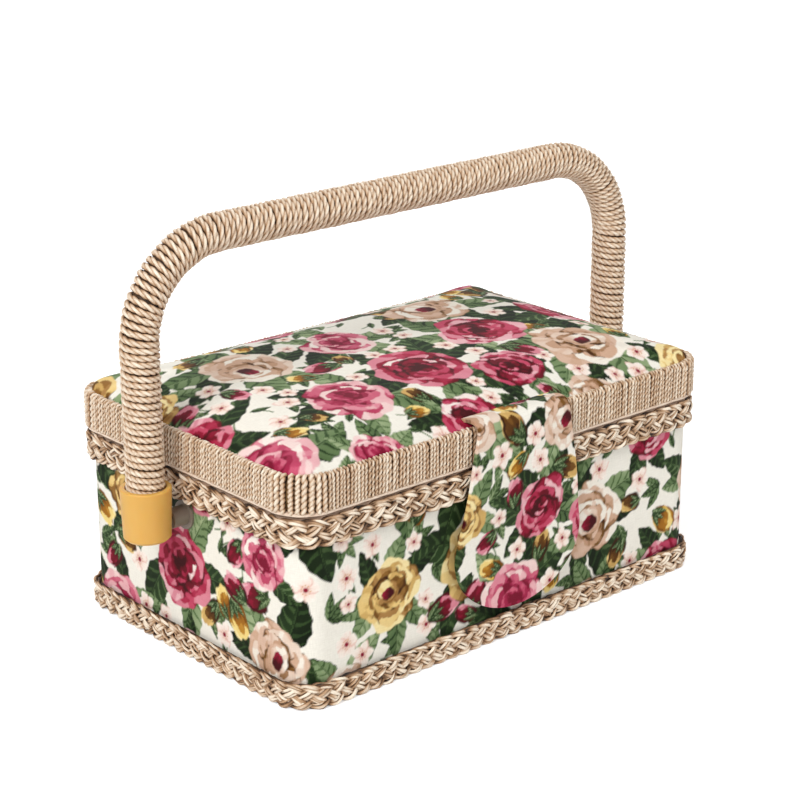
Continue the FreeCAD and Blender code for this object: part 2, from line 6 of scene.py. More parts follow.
import logging
import math
from contextlib import contextmanager
from dataclasses import dataclass, field
from enum import Enum
from typing import Any, Iterator, Sequence

import bpy
import numpy as np
from mathutils import Matrix, Vector


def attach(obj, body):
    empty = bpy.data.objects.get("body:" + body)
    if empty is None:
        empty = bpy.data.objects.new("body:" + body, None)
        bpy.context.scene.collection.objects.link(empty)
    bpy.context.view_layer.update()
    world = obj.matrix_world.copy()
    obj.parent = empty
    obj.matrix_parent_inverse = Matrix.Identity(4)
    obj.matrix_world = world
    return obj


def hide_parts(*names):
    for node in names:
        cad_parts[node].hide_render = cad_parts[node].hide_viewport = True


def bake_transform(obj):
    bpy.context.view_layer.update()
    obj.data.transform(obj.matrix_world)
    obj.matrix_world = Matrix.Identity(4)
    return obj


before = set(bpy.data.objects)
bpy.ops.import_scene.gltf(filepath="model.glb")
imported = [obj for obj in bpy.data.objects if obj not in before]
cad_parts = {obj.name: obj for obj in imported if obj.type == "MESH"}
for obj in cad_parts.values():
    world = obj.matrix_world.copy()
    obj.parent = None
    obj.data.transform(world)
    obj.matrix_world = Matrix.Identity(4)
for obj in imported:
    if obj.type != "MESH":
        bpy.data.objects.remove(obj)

LOG = logging.getLogger("sewing_box")
MM = 0.001
TAU = 2 * math.pi
TRIM_HALF_X = 0.125
TRIM_HALF_Y = 0.0825
TRIM_RADIUS = 0.018
HINGE_X = 70.0 * MM
HINGE_HALF = 13.3 * MM
Colour = tuple[float, float, float]


def linear(red: int, green: int, blue: int) -> Colour:
    """A colour written in screen bytes, as the linear values that a shader takes."""
    return tuple((value / 255) ** 2.2 for value in (red, green, blue))


# Shader maths


class Value:
    """A shader socket that takes part in Python sums: each sum adds a Math node."""

    def __init__(self, nodes: "Nodes", socket: bpy.types.NodeSocket) -> None:
        """Keeps the socket and the node tree that it belongs to."""
        self.nodes = nodes
        self.socket = socket

    def _sum(self, operation: str, first: Any, second: Any = 0.0) -> "Value":
        """Adds one Math node."""
        return self.nodes.add("ShaderNodeMath", {"operation": operation}, {0: first, 1: second})

    def __add__(self, other: Any) -> "Value":
        """Sum of two values."""
        return self._sum("ADD", self, other)

    def __sub__(self, other: Any) -> "Value":
        """Difference of two values."""
        return self._sum("SUBTRACT", self, other)

    def __rsub__(self, other: Any) -> "Value":
        """Difference with a number on the left."""
        return self._sum("SUBTRACT", other, self)

    def __mul__(self, other: Any) -> "Value":
        """Product of two values."""
        return self._sum("MULTIPLY", self, other)

    __radd__ = __add__
    __rmul__ = __mul__

    def __pow__(self, other: Any) -> "Value":
        """One value to the power of another."""
        return self._sum("POWER", self, other)

    def wave(self) -> "Value":
        """Sine of the value, brought to the range from 0 to 1."""
        return self._sum("SINE", self) * 0.5 + 0.5


class Nodes:
    """The node tree of one material, while it is put together."""

    def __init__(self, name: str) -> None:
        """Starts an empty material.

        Args:
            name: The material's name.
        """
        self.material = bpy.data.materials.new(name)
        self.material.use_nodes = True
        self.tree = self.material.node_tree
        self.tree.nodes.clear()

    def add(
        self, kind: str, settings: dict | None = None, sockets: dict | None = None, output: Any = 0
    ) -> Value:
        """Adds a node.

        Args:
            kind: The node's type.
            settings: Its properties, set first; "stops" gives a colour ramp's places and colours.
            sockets: Values or links for its inputs.
            output: Which output to hand back.

        Returns:
            The chosen output.
        """
        node = self.tree.nodes.new(kind)
        for key, value in (settings or {}).items():
            if key == "stops":
                self._set_stops(node.color_ramp, value)
            else:
                setattr(node, key, value)
        for key, value in (sockets or {}).items():
            self._feed(node.inputs[key], value)
        return Value(self, node.outputs[output]) if node.outputs else Value(self, None)

    def _feed(self, entry: bpy.types.NodeSocket, value: Any) -> None:
        """Links a value to an input, or sets a constant on it."""
        if isinstance(value, Value):
            self.tree.links.new(value.socket, entry)
        elif entry.type == "RGBA":
            entry.default_value = (*value[:3], 1.0)
        else:
            entry.default_value = value

    @staticmethod
    def _set_stops(ramp: bpy.types.ColorRamp, stops: Sequence[tuple[float, Colour]]) -> None:
        """Sets a colour ramp's stops."""
        while len(ramp.elements) < len(stops):
            ramp.elements.new(1.0)
        for element, (place, colour) in zip(ramp.elements, stops):
            element.position = place
            element.color = (*colour, 1.0)

    def parts(self, vector: Value) -> list[Value]:
        """The three values of a vector."""
        first = self.add("ShaderNodeSeparateXYZ", None, {0: vector})
        return [Value(self, out) for out in first.socket.node.outputs]

    def vector(self, x: Any, y: Any, z: Any = 0.0) -> Value:
        """A vector from three values."""
        return self.add("ShaderNodeCombineXYZ", None, {0: x, 1: y, 2: z})

    def uv(self, name: str) -> list[Value]:
        """The two values of a piece's UV map, and a zero."""
        return self.parts(self.add("ShaderNodeUVMap", {"uv_map": name}))

    def place(self) -> Value:
        """Object coordinates."""
        return self.add("ShaderNodeTexCoord", None, None, "Object")

    def tone(self, name: str) -> Value:
        """A number painted on the piece's points."""
        return self.add("ShaderNodeAttribute", {"attribute_name": name}, None, "Fac")

    def noise(self, vector: Value, scale: float, detail: float = 2.0) -> Value:
        """Soft noise from 0 to 1."""
        return self.add("ShaderNodeTexNoise", None, {"Vector": vector, "Scale": scale, "Detail": detail})

    def ramp(self, value: Value, stops: Sequence[tuple[float, Colour]]) -> Value:
        """A colour looked up by a value."""
        return self.add("ShaderNodeValToRGB", {"stops": stops}, {"Fac": value})

    def mix(self, share: Any, low: Any, high: Any, blend: str = "MIX") -> Value:
        """Two colours mixed by a share."""
        settings = {"data_type": "RGBA", "blend_type": blend}
        return self.add("ShaderNodeMix", settings, {0: share, 6: low, 7: high}, 2)

    def bump(self, height: Value, distance: float, strength: float = 1.0) -> Value:
        """A surface normal bent by a height."""
        sockets = {"Height": height, "Distance": distance, "Strength": strength}
        return self.add("ShaderNodeBump", None, sockets)

    def close(self, sockets: dict[str, Any]) -> bpy.types.Material:
        """Ends the material in one principled shader.

        Args:
            sockets: The shader's inputs.

        Returns:
            The finished material.
        """
        shader = self.add("ShaderNodeBsdfPrincipled", None, sockets)
        self.add("ShaderNodeOutputMaterial", None, {"Surface": shader})
        return self.material


# Finishes


@dataclass(frozen=True)
class PrintedCotton:
    """Plain-weave cotton whose print is painted on the cloth's points."""

    thread: float = 0.62 * MM
    roughness: float = 0.82

    def material(self) -> bpy.types.Material:
        """Builds the finish."""
        n = Nodes("printed_cotton")
        u, v, _ = n.uv("cloth")
        warp = (u * (TAU / self.thread)).wave()
        weft = (v * (TAU / self.thread)).wave()
        slub = n.noise(n.vector(u * 260.0, v * 2600.0), 1.0) + n.noise(n.vector(u * 2600.0, v * 260.0), 1.0)
        weave = warp * weft * 0.6 + slub * 0.35
        ink = n.add("ShaderNodeAttribute", {"attribute_name": "print"}, None, "Color")
        shade = n.ramp(slub * 0.5, [(0.3, (0.88, 0.87, 0.86)), (0.65, (1.0, 1.0, 1.0))])
        return n.close({
            "Base Color": n.mix(1.0, ink, shade, "MULTIPLY"),
            "Roughness": self.roughness - 0.12 * slub,
            "Sheen Weight": 0.03,
            "Sheen Roughness": 0.5,
            "Specular IOR Level": 0.14,
            "Normal": n.bump(weave, 0.12 * MM, 0.5),
        })


@dataclass(frozen=True)
class Straw:
    """Glossy twisted straw whose fibres run along each strand."""

    name: str
    shadow: Colour
    low: Colour
    middle: Colour
    high: Colour
    roughness: float = 0.46

    def material(self) -> bpy.types.Material:
        """Builds the finish."""
        n = Nodes(self.name)
        u, v, _ = n.uv("lay")
        tone = n.tone("tone")
        fibre = n.noise(n.vector(u * 90.0, v * 9.0, tone * 40.0), 1.0, 3.0)
        fleck = n.noise(n.vector(u * 420.0, v * 3.0, tone * 9.0), 1.0)
        level = tone * 0.95 + fibre * 0.42 + fleck * 0.14 - 0.28
        stops = [(0.08, self.shadow), (0.34, self.low), (0.56, self.middle), (0.9, self.high)]
        return n.close({
            "Base Color": n.ramp(level, stops),
            "Roughness": self.roughness + 0.25 * (1 - fibre),
            "Specular IOR Level": 0.5,
            "Sheen Weight": 0.08,
            "Normal": n.bump(fibre, 0.35 * MM, 0.55),
        })


@dataclass(frozen=True)
class Moulded:
    """Moulded plastic with a little flow marking and a soft gloss."""

    name: str
    body: Colour
    streak: Colour
    roughness: float
    depth: Colour
    scatter: float

    def material(self) -> bpy.types.Material:
        """Builds the finish."""
        n = Nodes(self.name)
        x, y, z = n.parts(n.place())
        flow = n.noise(n.vector(x * 60.0, y * 60.0, z * 22.0), 1.0, 3.0)
        grain = n.noise(n.place(), 900.0)
        return n.close({
            "Base Color": n.mix(flow, self.body, self.streak),
            "Roughness": self.roughness + 0.18 * grain,
            "Subsurface Weight": self.scatter,
            "Subsurface Radius": self.depth,
            "Subsurface Scale": 1.0,
            "Specular IOR Level": 0.5,
            "Normal": n.bump(grain, 0.05 * MM, 0.3),
        })


@dataclass(frozen=True)
class PlatedSteel:
    """Bright plated steel with fine rubbing marks."""

    colour: Colour = (0.66, 0.63, 0.57)

    def material(self) -> bpy.types.Material:
        """Builds the finish."""
        n = Nodes("plated_steel")
        x, y, z = n.parts(n.place())
        rub = n.noise(n.vector(x * 300.0, y * 4000.0, z * 4000.0), 1.0, 3.0)
        dull = n.noise(n.place(), 240.0)
        return n.close({
            "Base Color": n.mix(dull, self.colour, tuple(0.8 * c for c in self.colour)),
            "Metallic": 1.0,
            "Roughness": 0.2 + 0.25 * rub,
            "Normal": n.bump(rub, 0.02 * MM, 0.4),
        })


@dataclass(frozen=True)
class Satin:
    """Woven lining satin with a soft sheen."""

    colour: Colour = linear(236, 222, 200)

    def material(self) -> bpy.types.Material:
        """Builds the finish."""
        n = Nodes("lining_satin")
        x, y, z = n.parts(n.place())
        twill = ((x + y + z) * (TAU / (0.5 * MM))).wave()
        cloud = n.noise(n.place(), 30.0)
        return n.close({
            "Base Color": n.mix(cloud, self.colour, tuple(0.9 * c for c in self.colour)),
            "Roughness": 0.34 + 0.2 * twill,
            "Sheen Weight": 0.35,
            "Sheen Roughness": 0.35,
            "Normal": n.bump(twill, 0.04 * MM, 0.4),
        })


@dataclass(frozen=True)
class Card:
    """Grey-brown board or plain cloth with loose fibres."""

    name: str
    colour: Colour
    fibre: Colour

    def material(self) -> bpy.types.Material:
        """Builds the finish."""
        n = Nodes(self.name)
        coarse = n.noise(n.place(), 420.0, 4.0)
        fine = n.noise(n.place(), 1900.0)
        return n.close({
            "Base Color": n.mix(coarse, self.colour, self.fibre),
            "Roughness": 0.8 + 0.15 * fine,
            "Specular IOR Level": 0.2,
            "Normal": n.bump(fine, 0.15 * MM, 0.4),
        })


class Palette(Enum):
    """The finishes of the box, each made once."""

    COTTON = PrintedCotton()
    STRAW = Straw(
        "straw", linear(30, 16, 6), linear(118, 80, 46), linear(194, 155, 118), linear(253, 238, 216), 0.36
    )
    # Dark straw laid under the cords and plaits: painted shade that shows in the gaps between them.
    SHADE_UNDERLAY = Straw(
        "straw_underlay_painted_shade", linear(36, 22, 10), linear(74, 50, 24), linear(120, 88, 46), linear(160, 122, 70)
    )
    TAPE = Straw(
        "binding_tape",
        linear(150, 116, 96),
        linear(196, 162, 138),
        linear(222, 194, 170),
        linear(240, 222, 202),
        0.6,
    )
    AMBER = Moulded(
        "amber_plastic", linear(228, 182, 98), linear(214, 156, 64), 0.3, (4 * MM, 2 * MM, 0.6 * MM), 0.35
    )
    CLOUDY = Moulded(
        "cloudy_plastic", linear(156, 144, 130), linear(112, 98, 86), 0.35, (2 * MM, 2 * MM, 2 * MM), 0.4
    )
    CORE = Moulded(
        "core_plastic", linear(206, 190, 150), linear(190, 172, 130), 0.5, (1 * MM, 1 * MM, 1 * MM), 0.1
    )
    STEEL = PlatedSteel()
    SATIN = Satin()
    BOARD = Card("card_board", linear(150, 132, 108), linear(120, 102, 80))
    FOOTCLOTH = Card("base_cloth", linear(196, 178, 152), linear(170, 150, 124))

    def made(self) -> bpy.types.Material:
        """The finish's material, built on first use."""
        if self.name not in MATERIALS:
            MATERIALS[self.name] = self.value.material()
        return MATERIALS[self.name]


MATERIALS: dict[str, bpy.types.Material] = {}


# Modelling tools


def activate(piece: bpy.types.Object) -> None:
    """Selects one piece alone and makes it the active one."""
    bpy.ops.object.select_all(action="DESELECT")
    piece.select_set(True)
    bpy.context.view_layer.objects.active = piece


@contextmanager
def edit_mode(piece: bpy.types.Object) -> Iterator[None]:
    """Holds one piece in edit mode."""
    activate(piece)
    bpy.ops.object.mode_set(mode="EDIT")
    yield
    bpy.ops.object.mode_set(mode="OBJECT")


def apply_modifier(piece: bpy.types.Object, kind: str, **settings: Any) -> None:
    """Adds a modifier to a piece and applies it.

    Args:
        piece: The piece.
        kind: The modifier's type.
        **settings: Its properties.
    """
    activate(piece)
    modifier = piece.modifiers.new(kind.lower(), kind)
    for key, value in settings.items():
        setattr(modifier, key, value)
    bpy.ops.object.modifier_apply(modifier=modifier.name)


def points_of(piece: bpy.types.Object) -> np.ndarray:
    """A piece's points, one row each."""
    flat = np.empty(len(piece.data.vertices) * 3)
    piece.data.vertices.foreach_get("co", flat)
    return flat.reshape(-1, 3)


def move_points(piece: bpy.types.Object, points: np.ndarray) -> None:
    """Puts a piece's points at new places."""
    piece.data.vertices.foreach_set("co", points.ravel())
    piece.data.update()


def add_grid(name: str, columns: int, rows: int) -> bpy.types.Object:
    """A flat grid from -1 to 1 on both sides, ready to be shaped.

    Args:
        name: The piece's name.
        columns: Faces along X.
        rows: Faces along Y.

    Returns:
        The piece.
    """
    bpy.ops.object.select_all(action="DESELECT")
    bpy.ops.mesh.primitive_grid_add(x_subdivisions=columns, y_subdivisions=rows, size=2)
    piece = bpy.context.active_object
    piece.name = name
    piece.data.name = name
    for layer in list(piece.data.uv_layers):
        piece.data.uv_layers.remove(layer)
    return piece


def smooth(piece: bpy.types.Object, angle: float | None = None) -> None:
    """Shades a piece smooth, wholly or up to an angle."""
    activate(piece)
    if angle is None:
        bpy.ops.object.shade_smooth()
    else:
        bpy.ops.object.shade_smooth_by_angle(angle=angle)


def paint_points(piece: bpy.types.Object, name: str, colours: np.ndarray) -> None:
    """Writes one colour for each point of a piece."""
    layer = piece.data.attributes.new(name, "FLOAT_COLOR", "POINT")
    full = np.ones((len(colours), 4), np.float32)
    full[:, :3] = colours
    layer.data.foreach_set("color", full.ravel())


def map_cloth(piece: bpy.types.Object, places: np.ndarray) -> None:
    """Gives a piece the UV map that its weave follows, in metres, from one place for each point."""
    layer = piece.data.uv_layers.new(name="cloth")
    corners = np.empty(len(piece.data.loops), np.int32)
    piece.data.loops.foreach_get("vertex_index", corners)
    layer.data.foreach_set("uv", places[corners].astype(np.float32).ravel())


def dress(
    piece: bpy.types.Object, finish: Palette, slot: str, body: str | None, *nodes: str
) -> bpy.types.Object:
    """Gives a piece its finish, its body and the nodes that it stands for.

    Args:
        piece: The piece.
        finish: Its finish.
        slot: The record's material slot; not used.
        body: The body that it rides on, or None to leave the piece on no body.
        *nodes: The nodes that it replaces.

    Returns:
        The piece.
    """
    piece.data.materials.clear()
    piece.data.materials.append(finish.made())
    if body is not None:
        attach(piece, body)
    if nodes:
        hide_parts(*nodes)
    LOG.info("%s: %d faces", piece.name, len(piece.data.polygons))
    return piece


@dataclass(frozen=True)
class Outline:
    """The box's rounded outline, by length from the front middle, anticlockwise from above."""

    half_x: float
    half_y: float
    radius: float

    @classmethod
    def taken_in(cls, inset: float) -> "Outline":
        """The outside of the trims, taken in by an inset."""
        return cls(TRIM_HALF_X - inset, TRIM_HALF_Y - inset, TRIM_RADIUS - inset)

    @property
    def length(self) -> float:
        """The way round."""
        return 4 * (self.half_x + self.half_y - 2 * self.radius) + TAU * self.radius

    @property
    def ends(self) -> np.ndarray:
        """Where each flat and each corner ends, in order along the outline."""
        flat_x, flat_y = self.half_x - self.radius, self.half_y - self.radius
        bend = self.radius * math.pi / 2
        return np.cumsum([flat_x, bend, 2 * flat_y, bend, 2 * flat_x, bend, 2 * flat_y, bend, flat_x])

    def at(self, along: np.ndarray) -> tuple[np.ndarray, np.ndarray]:
        """Places on the outline.

        Args:
            along: Lengths from the front middle.

        Returns:
            The points, and the outward normals, both in the plane.
        """
        flat_x, flat_y = self.half_x - self.radius, self.half_y - self.radius
        ends = self.ends
        along = np.mod(np.asarray(along, float), self.length)
        which = np.clip(np.searchsorted(ends, along, "right"), 0, 8)
        into = along - np.concatenate([[0], ends])[which]
        facing = np.array([-1, -1, 0, 0, 1, 1, 2, 2, 3])[which] * (math.pi / 2)
        turning = which % 2 == 1
        heading = facing + np.where(turning, into / self.radius, 0.0)
        normal = np.stack([np.cos(heading), np.sin(heading)], -1)
        tangent = np.stack([-np.sin(heading), np.cos(heading)], -1)
        centre_x = np.array([0, 1, 1, 1, 1, -1, -1, -1, -1])[which] * flat_x
        centre_y = np.array([-1, -1, -1, 1, 1, 1, 1, -1, -1])[which] * flat_y
        step = np.where(turning, 0.0, into)[:, None]
        return np.stack([centre_x, centre_y], -1) + normal * self.radius + tangent * step, normal

    def corner_share(self, along: np.ndarray) -> np.ndarray:
        """How far into a corner each place is: 1 on its arc, 0 on the flats."""
        which = np.clip(np.searchsorted(self.ends, np.mod(along, self.length), "right"), 0, 8)
        return (which % 2 == 1).astype(float)


def beside_hinge(points: np.ndarray) -> np.ndarray:
    """Which plane points are at the hinge leaves, on the back of the box."""
    return (points[:, 1] > 0) & (np.abs(np.abs(points[:, 0]) - HINGE_X) < HINGE_HALF)


def upright(points: np.ndarray, heights: Any) -> np.ndarray:
    """Plane points with heights added."""
    return np.column_stack([points, np.broadcast_to(heights, len(points))])


@dataclass
class Bundle:
    """Strands gathered into one mesh, each with its lay and its tone."""

    points: list[np.ndarray] = field(default_factory=list)
    faces: list = field(default_factory=list)
    lays: list[np.ndarray] = field(default_factory=list)
    tones: list[np.ndarray] = field(default_factory=list)
    count: int = 0

    @staticmethod
    def framed(path: np.ndarray, lift: np.ndarray, closed: bool) -> tuple[np.ndarray, np.ndarray, np.ndarray]:
        """The directions along, across and out of a path.

        Args:
            path: Its points.
            lift: Roughly outward directions.
            closed: Whether it joins up.

        Returns:
            Unit vectors along, across and outward.
        """
        if closed:
            ahead = np.roll(path, -1, 0) - np.roll(path, 1, 0)
        else:
            ahead = np.gradient(path, axis=0)
        ahead /= np.linalg.norm(ahead, axis=1)[:, None]
        across = np.cross(lift, ahead)
        across /= np.linalg.norm(across, axis=1)[:, None]
        return ahead, across, np.cross(ahead, across)

    def sweep(self, path: np.ndarray, lift: np.ndarray, wide: Any, thick: Any, sides: int, tone: Any,
              closed: bool = False, lay_shift: float = 0.0) -> None:
        """Adds one strand of oval section.

        Args:
            path: The strand's middle line.
            lift: Roughly outward directions along it.
            wide: Half its width across.
            thick: Half its thickness outward.
            sides: Points round its section.
            tone: Lightness along it, to which the painted highlight and shade round the section are added.
            closed: Whether it joins up with its own start.
            lay_shift: Where its fibre pattern starts.
        """
        _, across, outward = self.framed(path, lift, closed)
        turn = np.arange(sides) * TAU / sides
        rows = len(path)
        wide = np.broadcast_to(np.asarray(wide, float), rows)[:, None, None]
        thick = np.broadcast_to(np.asarray(thick, float), rows)[:, None, None]
        ring = np.cos(turn)[None, :, None] * wide * across[:, None]
        ring = ring + np.sin(turn)[None, :, None] * thick * outward[:, None]
        points = (path[:, None] + ring).reshape(-1, 3)
        # Painted highlight on the outward face of each section and painted shade on its flanks and inner
        # face.
        crown = 0.2 * np.sin(turn) - 0.16 * np.cos(turn) ** 2
        tone = np.broadcast_to(np.asarray(tone, float), rows)[:, None] + crown[None]
        last = rows if closed else rows - 1
        i, j = np.meshgrid(np.arange(last), np.arange(sides), indexing="ij")
        i, j = i.ravel(), j.ravel()
        i2, j2 = (i + 1) % rows, (j + 1) % sides
        quads = self.count + np.stack([i * sides + j, i * sides + j2, i2 * sides + j2, i2 * sides + j], -1)
        run = np.concatenate([[0], np.cumsum(np.linalg.norm(np.diff(path, axis=0), axis=1))]) + lay_shift
        run = np.append(run, run[-1] + (run[-1] - run[-2]))
        u, v = run[np.stack([i, i, i + 1, i + 1], -1)], np.stack([j, j + 1, j + 1, j], -1) / sides
        lays = [np.stack([u, v], -1).reshape(-1, 2)]
        self.faces.extend(quads.tolist())
        if not closed:
            for ring_start, order in ((0, -1), ((rows - 1) * sides, 1)):
                self.faces.append((self.count + ring_start + np.arange(sides)[::order]).tolist())
                lays.append(np.zeros((sides, 2)))
        self.points.append(points)
        self.tones.append(tone.ravel())
        self.lays.append(np.concatenate(lays))
        self.count += len(points)

    def twist(self, path: np.ndarray, lift: np.ndarray, radius: float, pitch: Any, phase: float,
              tones: Sequence[float], sides: int, lay_shift: float = 0.0) -> None:
        """Adds a cord of plies twisted round each other.

        Args:
            path: The cord's middle line.
            lift: Roughly outward directions along it.
            radius: The cord's outer radius.
            pitch: Length of one full turn of the plies, one value or one for each point.
            phase: Where the turn starts.
            tones: Lightness of each ply.
            sides: Points round one ply.
            lay_shift: Where the fibre pattern starts.
        """
        _, across, outward = self.framed(path, lift, False)
        step = np.linalg.norm(np.diff(path, axis=0), axis=1)
        turns = np.concatenate([[0], np.cumsum(step / np.broadcast_to(pitch, len(path))[1:])])
        ply = (0.6 if len(tones) == 2 else 0.53) * radius
        arm = radius - ply
        for k, tone in enumerate(tones):
            angle = phase + TAU * (k / len(tones) + turns)
            reach = np.sin(angle)
            line = path + arm * (np.cos(angle)[:, None] * across + reach[:, None] * outward)
            # Painted shade: each ply is lighter where it turns outward and darker where it sinks under the
            # others.
            self.sweep(line, outward, ply, ply, sides, tone + 0.24 * reach, False, lay_shift + 0.37 * k)

    def make(self, name: str) -> bpy.types.Object:
        """Makes the gathered strands one piece.

        Args:
            name: The piece's name.

        Returns:
            The piece, smooth, with its lay and tone.
        """
        mesh = bpy.data.meshes.new(name)
        mesh.from_pydata(np.concatenate(self.points).tolist(), [], self.faces)
        layer = mesh.uv_layers.new(name="lay")
        layer.data.foreach_set("uv", np.concatenate(self.lays).astype(np.float32).ravel())
        tone = mesh.attributes.new("tone", "FLOAT", "POINT")
        tone.data.foreach_set("value", np.clip(np.concatenate(self.tones), 0, 1).astype(np.float32))
        mesh.polygons.foreach_set("use_smooth", [True] * len(mesh.polygons))
        mesh.update()
        piece = bpy.data.objects.new(name, mesh)
        bpy.context.scene.collection.objects.link(piece)
        return piece


# Print


class Dye(Enum):
    """Runs of print colours from shadow to highlight, in screen bytes."""

    CRIMSON = ((70, 4, 18), (118, 10, 36), (164, 30, 62), (200, 76, 104), (234, 164, 176), (250, 236, 228))
    PINK = ((122, 16, 46), (172, 46, 80), (204, 88, 116), (228, 146, 160), (244, 204, 202), (251, 240, 230))
    BEIGE = ((74, 44, 12), (128, 88, 42), (196, 154, 124), (212, 174, 148), (226, 194, 172), (248, 240, 226))
    BROWN = ((58, 32, 8), (98, 62, 20), (136, 94, 42), (176, 132, 78), (232, 194, 116), (250, 230, 170))
    OCHRE = ((122, 74, 18), (172, 114, 34), (220, 168, 70), (238, 202, 106), (248, 226, 152), (252, 243, 214))
    FOREST = ((18, 27, 12), (28, 43, 20), (44, 64, 34), (70, 92, 54), (110, 132, 90), (162, 180, 134))
    SAGE = ((24, 40, 20), (56, 78, 44), (92, 116, 74), (124, 146, 102), (164, 180, 138), (216, 222, 188))
    BLUSH = (
        (190, 84, 104), (222, 150, 146), (236, 196, 182), (248, 226, 214), (252, 238, 226), (253, 246, 236),
    )

    def at(self, tone: np.ndarray) -> np.ndarray:
        """Linear colours for tones from 0 to 1."""
        stops = np.linspace(0, 1, len(self.value))
        table = np.array([linear(*shade) for shade in self.value])
        return np.stack([np.interp(tone, stops, table[:, i]) for i in range(3)], -1)


@dataclass
class RosePrint:
    """A loose all-over print of garden roses, drawn motif by motif on a sheet of dots.

    Its lengths are in millimetres.
    """

    width: float
    height: float
    seed: int
    wraps: bool = False
    dot: float = 0.3
    rose: float = 17.0
    ground: Colour = linear(246, 242, 230)

    def __post_init__(self) -> None:
        """Lays out the sheet and draws the print."""
        self.columns = int(round(self.width / self.dot))
        self.rows = int(round(self.height / self.dot))
        self.rng = np.random.default_rng(self.seed)
        self.colours = np.empty((self.rows, self.columns, 3), np.float32)
        self.colours[:] = self.ground
        self.draw()

    def window(self, x: float, y: float, reach: float) -> tuple[np.ndarray, np.ndarray, tuple]:
        """The dots round a place.

        Args:
            x: The place along the sheet.
            y: The place up the sheet.
            reach: How far round it.

        Returns:
            The dots' distances along and up from the place, and their indices.
        """
        columns = np.arange(math.floor((x - reach) / self.dot), math.ceil((x + reach) / self.dot) + 1)
        if not self.wraps:
            columns = columns[(columns >= 0) & (columns < self.columns)]
        first, last = math.floor((y - reach) / self.dot), math.ceil((y + reach) / self.dot) + 1
        rows = np.arange(max(0, first), min(self.rows, max(0, last)))
        dx, dy = np.meshgrid(columns * self.dot - x, rows * self.dot - y)
        return dx, dy, np.ix_(rows, columns % self.columns)

    def lay(self, where: tuple, mask: np.ndarray, colours: np.ndarray) -> None:
        """Prints colours through a mask."""
        if mask.size:
            share = np.clip(mask, 0, 1)[..., None]
            self.colours[where] = self.colours[where] * (1 - share) + colours * share

    @staticmethod
    def edge(depth: np.ndarray, soft: float = 0.35) -> np.ndarray:
        """A mask that is full inside a shape, from the depth inside it."""
        return np.clip(depth / soft + 0.5, 0, 1)

    def petal(self, dots: tuple, x: float, y: float, along: float, long: float, wide: float, dye: Dye,
              base: float, lift: float) -> None:
        """Draws one petal.

        Args:
            dots: The dots round the flower.
            x: Its middle along the sheet, from the flower's.
            y: Its middle up the sheet, from the flower's.
            along: The way that it points.
            long: Half its length.
            wide: Half its width.
            dye: Its colours.
            base: Tone at its foot.
            lift: How much lighter its tip is.
        """
        dx, dy, where = dots
        px, py = dx - x, dy - y
        a = (px * math.cos(along) + py * math.sin(along)) / long
        b = (py * math.cos(along) - px * math.sin(along)) / wide
        phase = self.rng.uniform(0, TAU, 5)
        spin = np.arctan2(b, a)
        q = np.hypot(a, b) * (1 + 0.09 * np.sin(2 * spin + phase[0]) + 0.06 * np.sin(4 * spin + phase[1]))
        q = q * (1 + 0.03 * np.sin(9 * spin + phase[2]))
        size = min(long, wide)
        side = np.cos(spin - self.rng.normal(0, 0.8))
        fan = np.arctan2(b, a + 1.3)
        stroke = 0.6 * np.sin(fan * 11 + phase[3]) + 0.4 * np.sin(fan * 19 + phase[4])
        tone = base - 0.34 * np.clip(0.3 - a, 0, 1) + 0.06 * stroke
        lip = (q > 0.64 + 0.12 * np.sin(3 * spin + phase[1])) & (side > 0.15)
        tone = tone + lift * lip - 0.2 * ((q > 0.8) & (side < -0.1))
        tone = 0.6 * np.round(tone * 7) / 7 + 0.4 * tone
        self.lay(where, self.edge((1 - q) * size), dye.at(tone))
        outline = 0.75 * self.edge(0.3 - np.abs(1 - q) * size) * (side < 0.3)
        self.lay(where, outline, dye.at(np.full_like(q, max(base - 0.38, 0))))

    def bloom(self, x: float, y: float, radius: float, dye: Dye, heart: Dye | None) -> None:
        """Draws one open rose, ring by ring of petals from the outside in.

        Args:
            x: Its middle along the sheet.
            y: Its middle up the sheet.
            radius: Its size.
            dye: Its colours.
            heart: Colours of a dark middle, if it has one.
        """
        turn = self.rng.uniform(0, TAU)
        dots = self.window(x, y, radius * 1.3)
        lean = self.rng.uniform(0.0, 0.22) * radius
        lean_x, lean_y = lean * math.cos(turn), lean * math.sin(turn)
        rings = (
            (6, 0.58, 0.47, 0.54, 0.46, 0.40),
            (5, 0.42, 0.42, 0.48, 0.36, 0.50),
            (4, 0.25, 0.34, 0.38, 0.24, 0.55),
            (3, 0.12, 0.23, 0.25, 0.14, 0.45),
        )
        pale = 0.16 if heart is not None else 0.0
        for count, out, long, wide, base, lift in rings:
            shift = self.rng.uniform(0, TAU)
            share = 1 - out / 0.6
            for k in self.rng.permutation(count):
                along = shift + (k + self.rng.uniform(-0.25, 0.25)) * TAU / count
                size = radius * self.rng.uniform(0.8, 1.2)
                px = lean_x * share + out * radius * math.cos(along)
                py = lean_y * share + out * radius * math.sin(along)
                shade = base + pale + self.rng.uniform(-0.16, 0.12)
                glow = lift * self.rng.uniform(0.3, 1.2)
                self.petal(dots, px, py, along, long * size, wide * size, dye, shade, glow)
        if heart is not None:
            cup = radius * self.rng.uniform(0.3, 0.38)
            self.petal(dots, lean_x, lean_y, turn, cup * 1.2, cup, dye, 0.95, 0.0)
            self.petal(dots, lean_x, lean_y - 0.2 * cup, turn + 0.6, 0.7 * cup, 0.55 * cup, heart, 0.2, 0.12)

